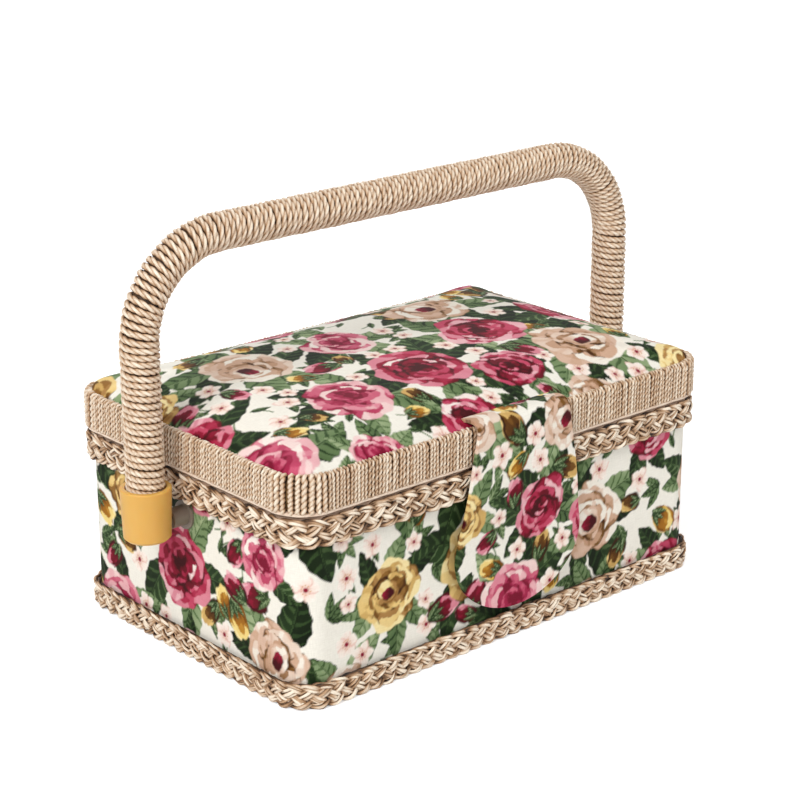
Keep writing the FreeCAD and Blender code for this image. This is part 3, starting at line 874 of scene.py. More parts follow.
    def leaf(self, x: float, y: float, long: float, wide: float, along: float, dye: Dye, base: float) -> None:
        """Draws one veined leaf.

        Args:
            x: Its middle along the sheet.
            y: Its middle up the sheet.
            long: Its length.
            wide: Its width.
            along: The way that it points.
            dye: Its colours.
            base: Its tone.
        """
        dx, dy, where = self.window(x, y, long * 0.62)
        a = (dx * math.cos(along) + dy * math.sin(along)) / long + 0.5
        b = (dy * math.cos(along) - dx * math.sin(along)) / wide
        b = b - 0.5 * self.rng.uniform(-1, 1) * (a - 0.5) ** 2
        inside = np.clip(a, 0, 1)
        teeth = 1 + 0.05 * np.sin(inside * 30 + self.rng.uniform(0, TAU))
        half = 0.5 * np.sin(np.pi * inside**0.72) ** 0.8 * teeth
        depth = np.minimum((half - np.abs(b)) * wide, np.minimum(a, 1 - a) * long * 0.9)
        wave = self.rng.uniform(0, TAU)
        vein = (inside * 5.0 - np.abs(b) * 2.4 + 0.08 * np.sin(b * 14 + wave)) % 1.0
        sweep = (vein < 0.34 * (1.2 - 1.6 * np.abs(b))) & (np.abs(b) > 0.05)
        rib = np.abs(b) * wide < 0.4 * (1.15 - inside)
        sign = 1 if dye is Dye.FOREST else -1
        tone = base + np.where(b > 0.02, 0.1, -0.06) + 0.05 * np.sin(inside * 7 + b * 5 + wave)
        tone = tone + sign * (0.3 * sweep + 0.34 * rib) - 0.2 * ((half - np.abs(b)) * wide < 0.45) * (b < 0)
        self.lay(where, self.edge(depth), dye.at(np.clip(tone, 0, 1)))

    def blossom(self, x: float, y: float, radius: float) -> None:
        """Draws one small five-petalled flower."""
        dots = self.window(x, y, radius * 1.2)
        turn = self.rng.uniform(0, TAU)
        for k in range(5):
            along = turn + k * TAU / 5
            px, py = 0.52 * radius * math.cos(along), 0.52 * radius * math.sin(along)
            self.petal(dots, px, py, along, 0.46 * radius, 0.4 * radius, Dye.BLUSH, 0.8, 0.1)
        dx, dy, where = dots
        r = np.hypot(dx, dy) / radius
        self.lay(where, self.edge((0.17 - r) * radius), Dye.CRIMSON.at(0.25 + 0.2 * r))
        spots = (np.abs(r - 0.33) < 0.05) & (np.cos(10 * np.arctan2(dy, dx) + turn) > 0.55)
        self.lay(where, 0.8 * spots, Dye.OCHRE.at(np.full_like(r, 0.3)))

    def bud(self, x: float, y: float, radius: float, along: float, dye: Dye) -> None:
        """Draws one closed bud in its green cup."""
        c, s = math.cos(along), math.sin(along)
        dots = self.window(x, y, radius * 1.5)
        for side, wide in ((0.5, 0.5), (-0.5, 0.5), (0.0, 0.62)):
            shift = side * 0.45 * radius
            base = 0.22 + 0.2 * abs(side)
            self.petal(dots, -s * shift, c * shift, along, radius, wide * radius, dye, base, 0.5)
        for side in (-0.55, 0.0, 0.55):
            foot, shift = 0.62 * radius, 0.5 * side * radius
            place = (x - c * foot - s * shift, y - s * foot + c * shift)
            self.leaf(*place, radius * 1.25, radius * 0.42, along + side * 0.9, Dye.FOREST, 0.45)

    def stem(self, x: float, y: float, along: float, long: float) -> None:
        """Draws one thin curved stem."""
        c, s = math.cos(along), math.sin(along)
        dx, dy, where = self.window(x + c * long / 2, y + s * long / 2, 0.6 * long + 2)
        a = (dx * c + dy * s) / long + 0.5
        b = dy * c - dx * s - 0.12 * long * np.sin(np.pi * np.clip(a, 0, 1))
        depth = np.minimum(0.4 - np.abs(b), np.minimum(a, 1 - a) * long)
        self.lay(where, self.edge(depth), Dye.SAGE.at(np.full_like(a, 0.42)))

    def scatter(
        self, spacing: float, tries: int, taken: list, margin: float
    ) -> list[tuple[float, float, float]]:
        """Places kept apart from each other and from what is there.

        Args:
            spacing: Room round each new place.
            tries: How many places are tried.
            taken: Places in use, each with its room.
            margin: How far outside the sheet a place may be.

        Returns:
            The new places, each with its room.
        """
        found = list(taken)
        beyond = 0 if self.wraps else margin
        for _ in range(tries):
            x = self.rng.uniform(-beyond, self.width + beyond)
            y = self.rng.uniform(-margin, self.height + margin)
            spots = np.array(found).reshape(-1, 3)
            gap = np.abs(spots[:, 0] - x)
            if self.wraps:
                gap = np.minimum(gap, self.width - gap)
            if not np.any(np.hypot(gap, spots[:, 1] - y) < spacing + spots[:, 2]):
                found.append((x, y, spacing))
        return found[len(taken):]

    def draw(self) -> None:
        """Draws the whole print: sprays first, then leaves, small flowers, buds and roses."""
        rng = self.rng
        roses = [(x, y, self.rose * rng.uniform(0.72, 1.26))
                 for x, y, _ in self.scatter(self.rose * 1.14, 1500, [], self.rose * 0.6)]
        fillers = self.scatter(5.6, 1500, [(x, y, r * 0.92) for x, y, r in roses], 4.0)
        for x, y, _ in fillers:
            self.spray(x, y, rng.uniform(0, TAU))
        for x, y, r in roses:
            self.foliage(x, y, r)
        for x, y, _ in fillers:
            if rng.random() < 0.36:
                self.blossom(x, y, rng.uniform(4.4, 6.6))
            elif rng.random() < 0.5:
                bud_dye = (Dye.CRIMSON, Dye.OCHRE, Dye.BROWN)[rng.integers(3)]
                self.bud(x, y, rng.uniform(5.0, 9.0), rng.uniform(0, TAU), bud_dye)
        dyes = (Dye.CRIMSON, Dye.BEIGE, Dye.CRIMSON, Dye.PINK, Dye.BROWN, Dye.CRIMSON, Dye.BEIGE, Dye.PINK)
        first = rng.integers(len(dyes))
        for k, (x, y, r) in enumerate(roses):
            dye = dyes[(first + k) % len(dyes)]
            self.bloom(x, y, r, dye, Dye.CRIMSON if dye in (Dye.BEIGE, Dye.BROWN) else None)

    def spray(self, x: float, y: float, along: float) -> None:
        """Draws one light spray: three leaves, or a stem with one."""
        if self.rng.random() < 0.45:
            for turn in (-0.75, 0.0, 0.75):
                heading = along + turn
                dye = Dye.SAGE if self.rng.random() < 0.6 else Dye.FOREST
                base = self.rng.uniform(0.35, 0.6)
                place = (x + 6 * math.cos(heading), y + 6 * math.sin(heading))
                self.leaf(*place, 13, 5.4, heading, dye, base)
        else:
            self.stem(x, y, along, 11.0)
            heading = along + 0.5
            self.leaf(x + 5 * math.cos(heading), y + 5 * math.sin(heading), 9, 3.6, heading, Dye.SAGE, 0.35)

    def foliage(self, x: float, y: float, radius: float) -> None:
        """Draws the leaves that stand out from under one rose."""
        count = self.rng.integers(5, 8)
        shift = self.rng.uniform(0, TAU)
        for k in range(count):
            heading = shift + k * TAU / count + self.rng.uniform(-0.3, 0.3)
            long = radius * self.rng.uniform(1.15, 1.7)
            out = radius * 0.66 + long * 0.44
            dark = self.rng.random() < 0.5
            base = self.rng.uniform(0.1, 0.34) if dark else self.rng.uniform(0.42, 0.66)
            lean = heading + self.rng.uniform(-0.4, 0.4)
            place = (x + out * math.cos(heading), y + out * math.sin(heading))
            wide = long * self.rng.uniform(0.46, 0.62)
            self.leaf(*place, long, wide, lean, Dye.FOREST if dark else Dye.SAGE, base)

    def at(self, along: np.ndarray, up: np.ndarray) -> np.ndarray:
        """The print's colours at places on the sheet.

        Args:
            along: Places along the sheet, in metres.
            up: Places up the sheet, in metres.

        Returns:
            Linear colours, one row for each place.
        """
        x, y = along / MM / self.dot, np.clip(up / MM / self.dot, 0, self.rows - 1.001)
        x = np.mod(x, self.columns) if self.wraps else np.clip(x, 0, self.columns - 1.001)
        i, j = np.floor(y).astype(int), np.floor(x).astype(int)
        fy, fx = (y - i)[:, None], (x - j)[:, None]
        j2 = (j + 1) % self.columns
        low = self.colours[i, j % self.columns] * (1 - fx) + self.colours[i, j2] * fx
        high = self.colours[i + 1, j % self.columns] * (1 - fx) + self.colours[i + 1, j2] * fx
        return low * (1 - fy) + high * fy


# Sub-assemblies


@dataclass
class BodyCloth:
    """The printed cloth round the walls, in two widths that meet behind the handle's legs."""

    inset: float = 4.0 * MM
    back_inset: float = 4.9 * MM
    hem_inset: float = 7.9 * MM
    bottom: float = 1.0 * MM
    fine_bottom: float = 9.0 * MM
    fine_top: float = 76.0 * MM
    top: float = 86.8 * MM
    step: float = 0.56 * MM
    flat_height: float = 92.0 * MM
    leaf_drop: float = 0.8 * MM

    def section(self) -> np.ndarray:
        """The closed section of the cloth: insets and heights, up the outside and down the back."""
        fine = np.arange(self.fine_bottom, self.fine_top, self.step)
        outside = [(self.inset, self.bottom), *((self.inset, z) for z in fine)]
        roll = 0.5 * MM
        over = [
            (self.inset, self.top - 4 * MM),
            (self.inset, self.top - roll),
            (self.inset + 0.3 * roll, self.top - 0.3 * roll),
            (self.inset + roll, self.top),
            (self.hem_inset, self.top),
            (self.hem_inset, self.top - 0.9 * MM),
            (self.back_inset, self.top - 0.9 * MM),
            (self.back_inset, self.bottom),
        ]
        return np.array(outside + over)

    def build(self) -> None:
        """Makes and dresses both widths."""
        face = Outline.taken_in(self.inset)
        sheet = RosePrint(round(face.length / MM, 1), self.flat_height / MM, 23, True)
        half = face.length / 2
        for name, start in (("body_cloth_front", -half / 2), ("body_cloth_back", half / 2)):
            piece = self.width_of_cloth(name, face, start, half, sheet)
            dress(piece, Palette.COTTON, "printed_cotton", "box", "body_cover")

    def width_of_cloth(
        self, name: str, face: Outline, start: float, run: float, sheet: RosePrint
    ) -> bpy.types.Object:
        """Makes one width of the cloth.

        Args:
            name: The piece's name.
            face: The outline of the cloth's face.
            start: Where it starts along the outline.
            run: How far it goes.
            sheet: Its print.

        Returns:
            The piece.
        """
        section = self.section()
        columns = int(round(run / self.step))
        along = start + np.linspace(0, run, columns + 1)
        middle, normal = face.at(along)
        shift = (self.inset - section[:, 0])[None, :, None]
        plane = middle[:, None] + normal[:, None] * shift
        rows = len(section)
        hem = section[:, 1] > self.top - 2 * MM
        heights = section[:, 1] - self.leaf_drop * (beside_hinge(middle)[:, None] & hem)
        points = np.concatenate([plane, heights[..., None]], -1).reshape(-1, 3)
        i, j = np.meshgrid(np.arange(columns), np.arange(rows), indexing="ij")
        i, j = i.ravel(), j.ravel()
        j2 = (j + 1) % rows
        faces = np.stack([i * rows + j, (i + 1) * rows + j, (i + 1) * rows + j2, i * rows + j2], -1)
        mesh = bpy.data.meshes.new(name)
        ends = [list(range(rows)), [columns * rows + k for k in range(rows)][::-1]]
        mesh.from_pydata(points.tolist(), [], faces.tolist() + ends)
        piece = bpy.data.objects.new(name, mesh)
        bpy.context.scene.collection.objects.link(piece)
        places = np.stack([np.repeat(along, rows), np.tile(section[:, 1], columns + 1)], -1)
        places[:, 1] += (section[:, 0] - self.inset)[np.tile(np.arange(rows), columns + 1)]
        paint_points(piece, "print", sheet.at(places[:, 0], places[:, 1]))
        map_cloth(piece, places)
        smooth(piece, math.radians(50))
        return piece


def rounded_plan(grid: np.ndarray, half_x: float, half_y: float, radius: float) -> np.ndarray:
    """Puts a square grid on a plan with rounded corners.

    Args:
        grid: Places from -1 to 1 both ways.
        half_x: Half the plan's length.
        half_y: Half its width.
        radius: Its corner radius.

    Returns:
        The places on the plan.
    """
    x, y = grid[:, 0] * half_x, grid[:, 1] * half_y
    a = np.clip((np.abs(x) - half_x + radius) / radius, 0, 1)
    b = np.clip((np.abs(y) - half_y + radius) / radius, 0, 1)
    into = (a > 0) & (b > 0)
    round_x = half_x - radius + radius * a * np.sqrt(1 - b * b / 2)
    round_y = half_y - radius + radius * b * np.sqrt(1 - a * a / 2)
    x = np.where(into, np.sign(x) * round_x, x)
    y = np.where(into, np.sign(y) * round_y, y)
    return np.stack([x, y], -1)


def close_under(piece: bpy.types.Object, drop: float) -> None:
    """Turns a sheet's border down and closes it underneath."""
    with edit_mode(piece):
        bpy.ops.mesh.select_mode(type="EDGE")
        bpy.ops.mesh.select_all(action="DESELECT")
        bpy.ops.mesh.select_non_manifold()
        bpy.ops.mesh.extrude_edges_move(TRANSFORM_OT_translate={"value": (0, 0, drop)})
        bpy.ops.mesh.edge_face_add()
        bpy.ops.mesh.select_all(action="SELECT")
        bpy.ops.mesh.normals_make_consistent(inside=False)


@dataclass
class LidCushion:
    """The padded top of the lid: printed cloth drawn over foam and tucked behind the band."""

    half_x: float = 121.2 * MM
    half_y: float = 78.7 * MM
    radius: float = 14.0 * MM
    rim: float = 104.2 * MM
    crown: float = 10.4 * MM
    shoulder: float = 50.0 * MM
    columns: int = 96
    rows: int = 62
    foot: float = 1.6 * MM
    cap: float = 1.4 * MM
    fill: float = 0.85
    print_margin: float = 6.0
    seed: int = 31
    pressure: float = 4.0
    cloth_mass: float = 0.25
    tension: float = 25.0
    bending: float = 2.0
    frames: int = 20

    def height(self, grid: np.ndarray) -> np.ndarray:
        """How high the crown stands over each place of the square grid."""
        gap_x = np.maximum(self.half_x * (1 - np.abs(grid[:, 0])), 0.01 * MM)
        gap_y = np.maximum(self.half_y * (1 - np.abs(grid[:, 1])), 0.01 * MM)
        gap = (gap_x**-3.0 + gap_y**-3.0) ** (-1 / 3)
        share = np.clip(1 - gap / self.shoulder, 0, 1)
        return self.rim + self.crown * np.sqrt(1 - share**2)

    def build(self) -> None:
        """Makes and dresses the cushion."""
        piece = add_grid("lid_cushion", self.columns, self.rows)
        grid = points_of(piece)
        plan = rounded_plan(grid, self.half_x, self.half_y, self.radius)
        border = np.isclose(np.abs(grid[:, :2]).max(1), 1)
        start = np.column_stack([plan, self.height(grid)])
        move_points(piece, start)
        self.swell(piece, start, border)
        apply_modifier(piece, "SUBSURF", levels=2, render_levels=2)
        close_under(piece, -self.foot)
        places = points_of(piece)[:, :2] + np.array([self.half_x, self.half_y]) + self.print_margin * MM
        spare = 2 * self.print_margin
        sheet = RosePrint(2 * self.half_x / MM + spare, 2 * self.half_y / MM + spare, self.seed)
        paint_points(piece, "print", sheet.at(places[:, 0], places[:, 1]))
        map_cloth(piece, places)
        smooth(piece, math.radians(60))
        dress(piece, Palette.COTTON, "printed_cotton", "lid", "lid_cover", "lid_pad")

    def swell(self, piece: bpy.types.Object, start: np.ndarray, border: np.ndarray) -> None:
        """Lets the cloth settle under the foam's pressure, held at its border, by no more than the cap.

        Args:
            piece: The cushion's sheet.
            start: Its points before.
            border: Which points are held.
        """
        group = piece.vertex_groups.new(name="held")
        group.add(np.flatnonzero(border).tolist(), 1.0, "REPLACE")
        activate(piece)
        cloth = piece.modifiers.new("cloth", "CLOTH")
        cloth.settings.quality = 4
        cloth.settings.mass = self.cloth_mass
        cloth.settings.use_pressure = True
        cloth.settings.uniform_pressure_force = self.pressure
        cloth.settings.effector_weights.gravity = 0.0
        cloth.settings.vertex_group_mass = "held"
        cloth.settings.tension_stiffness = self.tension
        cloth.settings.bending_stiffness = self.bending
        scene = bpy.context.scene
        for number in range(1, self.frames + 1):
            scene.frame_set(number)
        bpy.ops.object.modifier_apply(modifier="cloth")
        scene.frame_set(1)
        moved = points_of(piece) - start
        far = np.linalg.norm(moved, axis=1)[:, None]
        move_points(piece, start + moved * np.minimum(1, self.cap / np.maximum(far, 1e-9)))
        piece.vertex_groups.clear()
        LOG.info("lid_cushion: settled by up to %.1f mm before the cap", far.max() / MM)


@dataclass
class ClosingFlap:
    """The printed tongue that is sewn to the lid's edge and hangs over the front."""

    top_half: float = 27.0 * MM
    wide_half: float = 38.0 * MM
    rim: float = 105.0 * MM
    widest: float = 46.0 * MM
    thickness: float = 1.5 * MM
    edge: float = 0.7 * MM
    straight_share: float = 0.72
    ripple: float = 0.35 * MM
    ripple_long: float = 17.0 * MM
    ripple_wide: float = 14.0 * MM
    ripple_fade: float = 10.0 * MM
    print_half: float = 44.0
    seed: int = 47
    columns: int = 144
    rows: int = 196

    def profile(self) -> np.ndarray:
        """The flap's middle surface from the lid down to its end, as Y and Z."""
        corners = np.array([
            (-71.0, 106.0), (-75.0, 106.9), (-79.0, 107.4), (-81.6, 107.4), (-83.6, 106.8), (-85.0, 105.2),
            (-85.4, 102.0), (-85.3, 90.0), (-85.2, 76.0), (-84.4, 66.0), (-83.0, 56.0), (-82.4, 48.0),
            (-82.4, 36.0), (-82.4, 24.0), (-82.4, 15.6),
        ]) * MM
        run = np.concatenate([[0], np.cumsum(np.linalg.norm(np.diff(corners, axis=0), axis=1))])
        fine = np.linspace(0, run[-1], 600)
        line = np.stack([np.interp(fine, run, corners[:, i]) for i in range(2)], -1)
        for _ in range(40):
            line[1:-1] = (line[:-2] + 2 * line[1:-1] + line[2:]) / 4
        return line

    def build(self) -> None:
        """Makes and dresses the flap."""
        piece = add_grid("closing_flap", self.columns, self.rows)
        grid = points_of(piece)
        across, down = grid[:, 0], (1 - grid[:, 1]) / 2
        line = self.profile()
        run = np.concatenate([[0], np.cumsum(np.linalg.norm(np.diff(line, axis=0), axis=1))])
        turn = np.interp(-self.widest, -line[:, 1], run)
        neck = np.interp(-self.rim, -line[:, 1], run)
        split = self.straight_share
        straight = np.clip(down / split, 0, 1)
        end = np.clip((down - split) / (1 - split), 0, 1)
        along = straight * turn + end * np.sqrt(1 - across**2 / 2) * (run[-1] - turn)
        widen = np.clip((along - neck) / (turn - neck), 0, 1)
        sides = self.top_half + (self.wide_half - self.top_half) * widen
        half = np.where(end > 0, self.wide_half * np.sqrt(1 - end**2 / 2), sides)
        x = across * half
        y, z = np.interp(along, run, line[:, 0]), np.interp(along, run, line[:, 1])
        ripple = self.ripple * np.sin(along / self.ripple_long) * np.cos(x / self.ripple_wide)
        y = y - ripple * np.clip((along - neck) / self.ripple_fade, 0, 1)
        move_points(piece, np.stack([x, y, z], -1))
        places = np.stack([x + self.print_half * MM, along], -1)
        sheet = RosePrint(2 * self.print_half, run[-1] / MM, self.seed)
        paint_points(piece, "print", sheet.at(places[:, 0], run[-1] - places[:, 1]))
        map_cloth(piece, places)
        self.thicken(piece)
        nodes = ("flap_face", "flap_stiffener", "flap_backing", "flap_magnet")
        dress(piece, Palette.COTTON, "printed_cotton", None, *nodes)
        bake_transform(piece)

    def thicken(self, piece: bpy.types.Object) -> None:
        """Gives the flap its thickness and a soft turned edge."""
        with edit_mode(piece):
            bpy.ops.mesh.select_all(action="SELECT")
            bpy.ops.mesh.normals_make_consistent(inside=False)
        front = sum(p.normal.y for p in piece.data.polygons) < 0
        if not front:
            with edit_mode(piece):
                bpy.ops.mesh.select_all(action="SELECT")
                bpy.ops.mesh.flip_normals()
        apply_modifier(piece, "SOLIDIFY", thickness=self.thickness, offset=0.0, use_even_offset=True)
        apply_modifier(
            piece, "BEVEL", width=self.edge, segments=2, limit_method="ANGLE", angle_limit=math.radians(60)
        )
        smooth(piece, math.radians(70))


@dataclass
class Plait:
    """A flat plait of five straw strands, laid round the box."""

    name: str
    node: str
    bottom: float
    height: float
    seed: int
    inset: float = 2.0 * MM
    crossing: float = 42.0 * MM
    strands: int = 5
    straws: int = 3
    straw_half: float = 0.74 * MM
    straw_thick: float = 0.52 * MM
    strand_half: float = 1.15 * MM
    strand_thick: float = 0.35 * MM
    wind: float = 17.0 * MM
    depth: float = 0.75 * MM
    step: float = 1.2 * MM
    backing_top: float = 0.0
    # The dark underlay straw behind the base plait is painted shade seen through the gaps in the plait.
    backing: Palette = Palette.SHADE_UNDERLAY

    def build(self) -> None:
        """Makes and dresses the plait."""
        rng = np.random.default_rng(self.seed)
        line = Outline.taken_in(self.inset)
        samples = int(round(line.length / self.step))
        along = np.arange(samples) * line.length / samples
        flat, normal = line.at(along)
        crossings = round(line.length / self.crossing)
        swing = self.height / 2 - self.strand_half - 0.3 * MM
        winds = round(line.length / self.wind)
        bundle = Bundle()
        lift = upright(normal, 0.0)
        over = self.strands - 1
        low, high = self.bottom + self.straw_half, self.bottom + self.height - self.straw_half
        for strand in range(self.strands):
            phase = TAU * crossings * along / line.length + strand * TAU / self.strands
            phase = phase + 0.1 * np.sin(TAU * along * 5 / line.length + strand)
            side = swing * (np.sin(phase) - 0.06 * np.sin(3 * phase))
            out = self.depth * np.sin(over * phase) + 0.15 * MM
            middle = upright(flat + normal * out[:, None], self.bottom + self.height / 2 + side)
            _, across, outward = Bundle.framed(middle, lift, True)
            for k in range(self.straws):
                place = 2 * k / (self.straws - 1) - 1
                roll = TAU * winds * along / line.length + 2 * place + strand
                stray = self.wander(rng, along, line.length, 0.22 * MM)
                shift = self.strand_half * (place + 0.22 * np.sin(roll)) + stray
                rise = self.strand_thick * np.cos(roll) + 0.4 * MM * (1 - place * place)
                rise = rise + self.wander(rng, along, line.length, 0.12 * MM)
                path = middle + across * shift[:, None] + outward * rise[:, None]
                path[:, 2] = np.clip(path[:, 2], low, high)
                tone = rng.uniform(0.28, 0.6) + self.wander(rng, along, line.length, 0.17)
                # Painted shade where a strand dips under the others, and painted highlight where it stands
                # out and where a straw rolls outward.
                tone = tone + 0.22 * np.sin(over * phase) + 0.12 * np.cos(roll)
                wide = self.straw_half * (1 + self.wander(rng, along, line.length, 0.2))
                bundle.sweep(path, lift, wide, self.straw_thick, 8, tone, True, rng.uniform(0, 1))
        dress(bundle.make(self.name), Palette.STRAW, "straw", "box", self.node)
        self.lay_backing()

    def lay_backing(self) -> None:
        """Makes the flat strip behind the plait; in the dark underlay straw it is painted shade seen through
        the plait.
        """
        line = Outline.taken_in(3.3 * MM)
        samples = int(round(line.length / (2.0 * MM)))
        flat, normal = line.at(np.arange(samples) * line.length / samples)
        low, high = self.bottom + 0.6 * MM, max(self.bottom + self.height - 0.8 * MM, self.backing_top)
        bundle = Bundle()
        path = upright(flat, (low + high) / 2)
        bundle.sweep(path, upright(normal, 0.0), (high - low) / 2, 0.6 * MM, 12, 0.42, True)
        dress(bundle.make(f"{self.name}_backing"), self.backing, "straw", "box")

    @staticmethod
    def wander(rng: np.random.Generator, along: np.ndarray, length: float, size: float) -> np.ndarray:
        """A slow change along a closed line.

        Args:
            rng: Source of the change.
            along: Places on the line.
            length: The line's length.
            size: How large the change is.

        Returns:
            The change at each place.
        """
        total = np.zeros_like(along)
        for _ in range(5):
            total += np.sin(TAU * rng.integers(8, 90) * along / length + rng.uniform(0, TAU))
        return size * total / 2


@dataclass
class LidBand:
    """The band round the lid: upright twisted cords side by side over a dark underlay, painted shade between
    the cords.
    """

    inset: float = 1.45 * MM
    bottom: float = 88.5 * MM
    shoulder: float = 102.9 * MM
    crest: float = 104.3 * MM
    cord: float = 1.08 * MM
    spacing: float = 1.9 * MM
    twist: float = 4.8 * MM
    corner_spread: float = 0.55
    tuck: float = 2.3 * MM
    tuck_turn: float = 2.2

    def build(self) -> None:
        """Makes and dresses the cords and the underlay."""
        rng = np.random.default_rng(5)
        line = Outline.taken_in(self.inset)
        bundle = Bundle()
        for along in self.stations(line):
            self.add_cord(bundle, line, along, rng)
        dress(bundle.make("lid_band_cords"), Palette.STRAW, "straw", "lid", "lid_band")
        self.underlay()

    def stations(self, line: Outline) -> np.ndarray:
        """Where the cords stand, wider apart on the corners."""
        fine = np.linspace(0, line.length, 4000)
        density = 1 / (1 + self.corner_spread * line.corner_share(fine))
        run = np.concatenate([[0], np.cumsum((density[1:] + density[:-1]) / 2 * np.diff(fine))])
        count = round(run[-1] / self.spacing)
        return np.interp(np.arange(count) * run[-1] / count, run, fine)

    def add_cord(self, bundle: Bundle, line: Outline, along: float, rng: np.random.Generator) -> None:
        """Adds one cord.

        Args:
            bundle: Where it goes.
            line: The outline of the cords' middles.
            along: Where it stands.
            rng: Source of its small differences.
        """
        rise = np.linspace(0, 1, 16)
        heights = self.bottom + (self.shoulder - self.bottom) * rise
        insets = np.zeros_like(heights)
        bend = np.linspace(0, 1, 5)[1:]
        turn = bend * self.tuck_turn
        heights = np.append(heights, self.shoulder + (self.crest - self.shoulder) * np.sin(turn))
        insets = np.append(insets, self.tuck * (1 - np.cos(turn)) / (1 - math.cos(self.tuck_turn)))
        lean = rng.normal(0, 0.25 * MM) + 0.35 * MM
        along = along + rng.normal(0, 0.3 * MM) * float(line.corner_share(np.array([along]))[0])
        drift = along + lean * (heights - self.bottom) / (self.shoulder - self.bottom)
        flat, normal = line.at(drift)
        path = upright(flat - normal * insets[:, None], heights)
        climb = np.clip(insets / self.tuck, 0, 1)
        lift = np.column_stack([normal * (1 - climb)[:, None], climb])
        base = rng.uniform(0.4, 0.62)
        tones = base + rng.uniform(-0.08, 0.08, 2)
        share = float(line.corner_share(np.array([along]))[0])
        radius = self.cord * rng.uniform(0.92, 1.06) * (1 + 0.8 * self.corner_spread * share)
        pitch = self.twist * rng.uniform(0.8, 1.25)
        bundle.twist(path, lift, radius, pitch, rng.uniform(0, TAU), tones, 5, rng.uniform(0, 1))

    def underlay(self) -> None:
        """Makes the flat dark straw ring that shows between the cords: painted shade in the gaps."""
        line = Outline.taken_in(2.9 * MM)
        samples = int(round(line.length / (2.5 * MM)))
        flat, normal = line.at(np.arange(samples) * line.length / samples)
        bundle = Bundle()
        middle = (self.bottom + self.shoulder) / 2 + 0.1 * MM
        half = (self.shoulder - self.bottom) / 2
        bundle.sweep(upright(flat, middle), upright(normal, 0.0), half, 0.7 * MM, 12, 0.5, True)
        dress(bundle.make("lid_band_painted_shade_underlay"), Palette.SHADE_UNDERLAY, "straw", "lid")


@dataclass
class BindingTape:
    """The flat tape under the lid's band."""

    inset: float = 2.4 * MM
    middle: float = 88.0 * MM
    half_height: float = 1.0 * MM
    half_thick: float = 1.7 * MM
    leaf_lift: float = 0.46 * MM

    def build(self) -> None:
        """Makes and dresses the tape, drawn up where the hinge leaves pass under it."""
        line = Outline.taken_in(self.inset)
        samples = int(round(line.length / (1.6 * MM)))
        along = np.arange(samples) * line.length / samples
        flat, normal = line.at(along)
        rng = np.random.default_rng(9)
        sway = Plait.wander(rng, along, line.length, 0.1 * MM)
        bundle = Bundle()
        tone = 0.6 + Plait.wander(rng, along, line.length, 0.06)
        lifted = self.leaf_lift * beside_hinge(flat)
        path = upright(flat + normal * sway[:, None], self.middle + lifted)
        bundle.sweep(path, upright(normal, 0.0), self.half_height - lifted, self.half_thick, 10, tone, True)
        dress(bundle.make("lid_binding_tape"), Palette.TAPE, "binding_tape", "lid", "lid_binding")


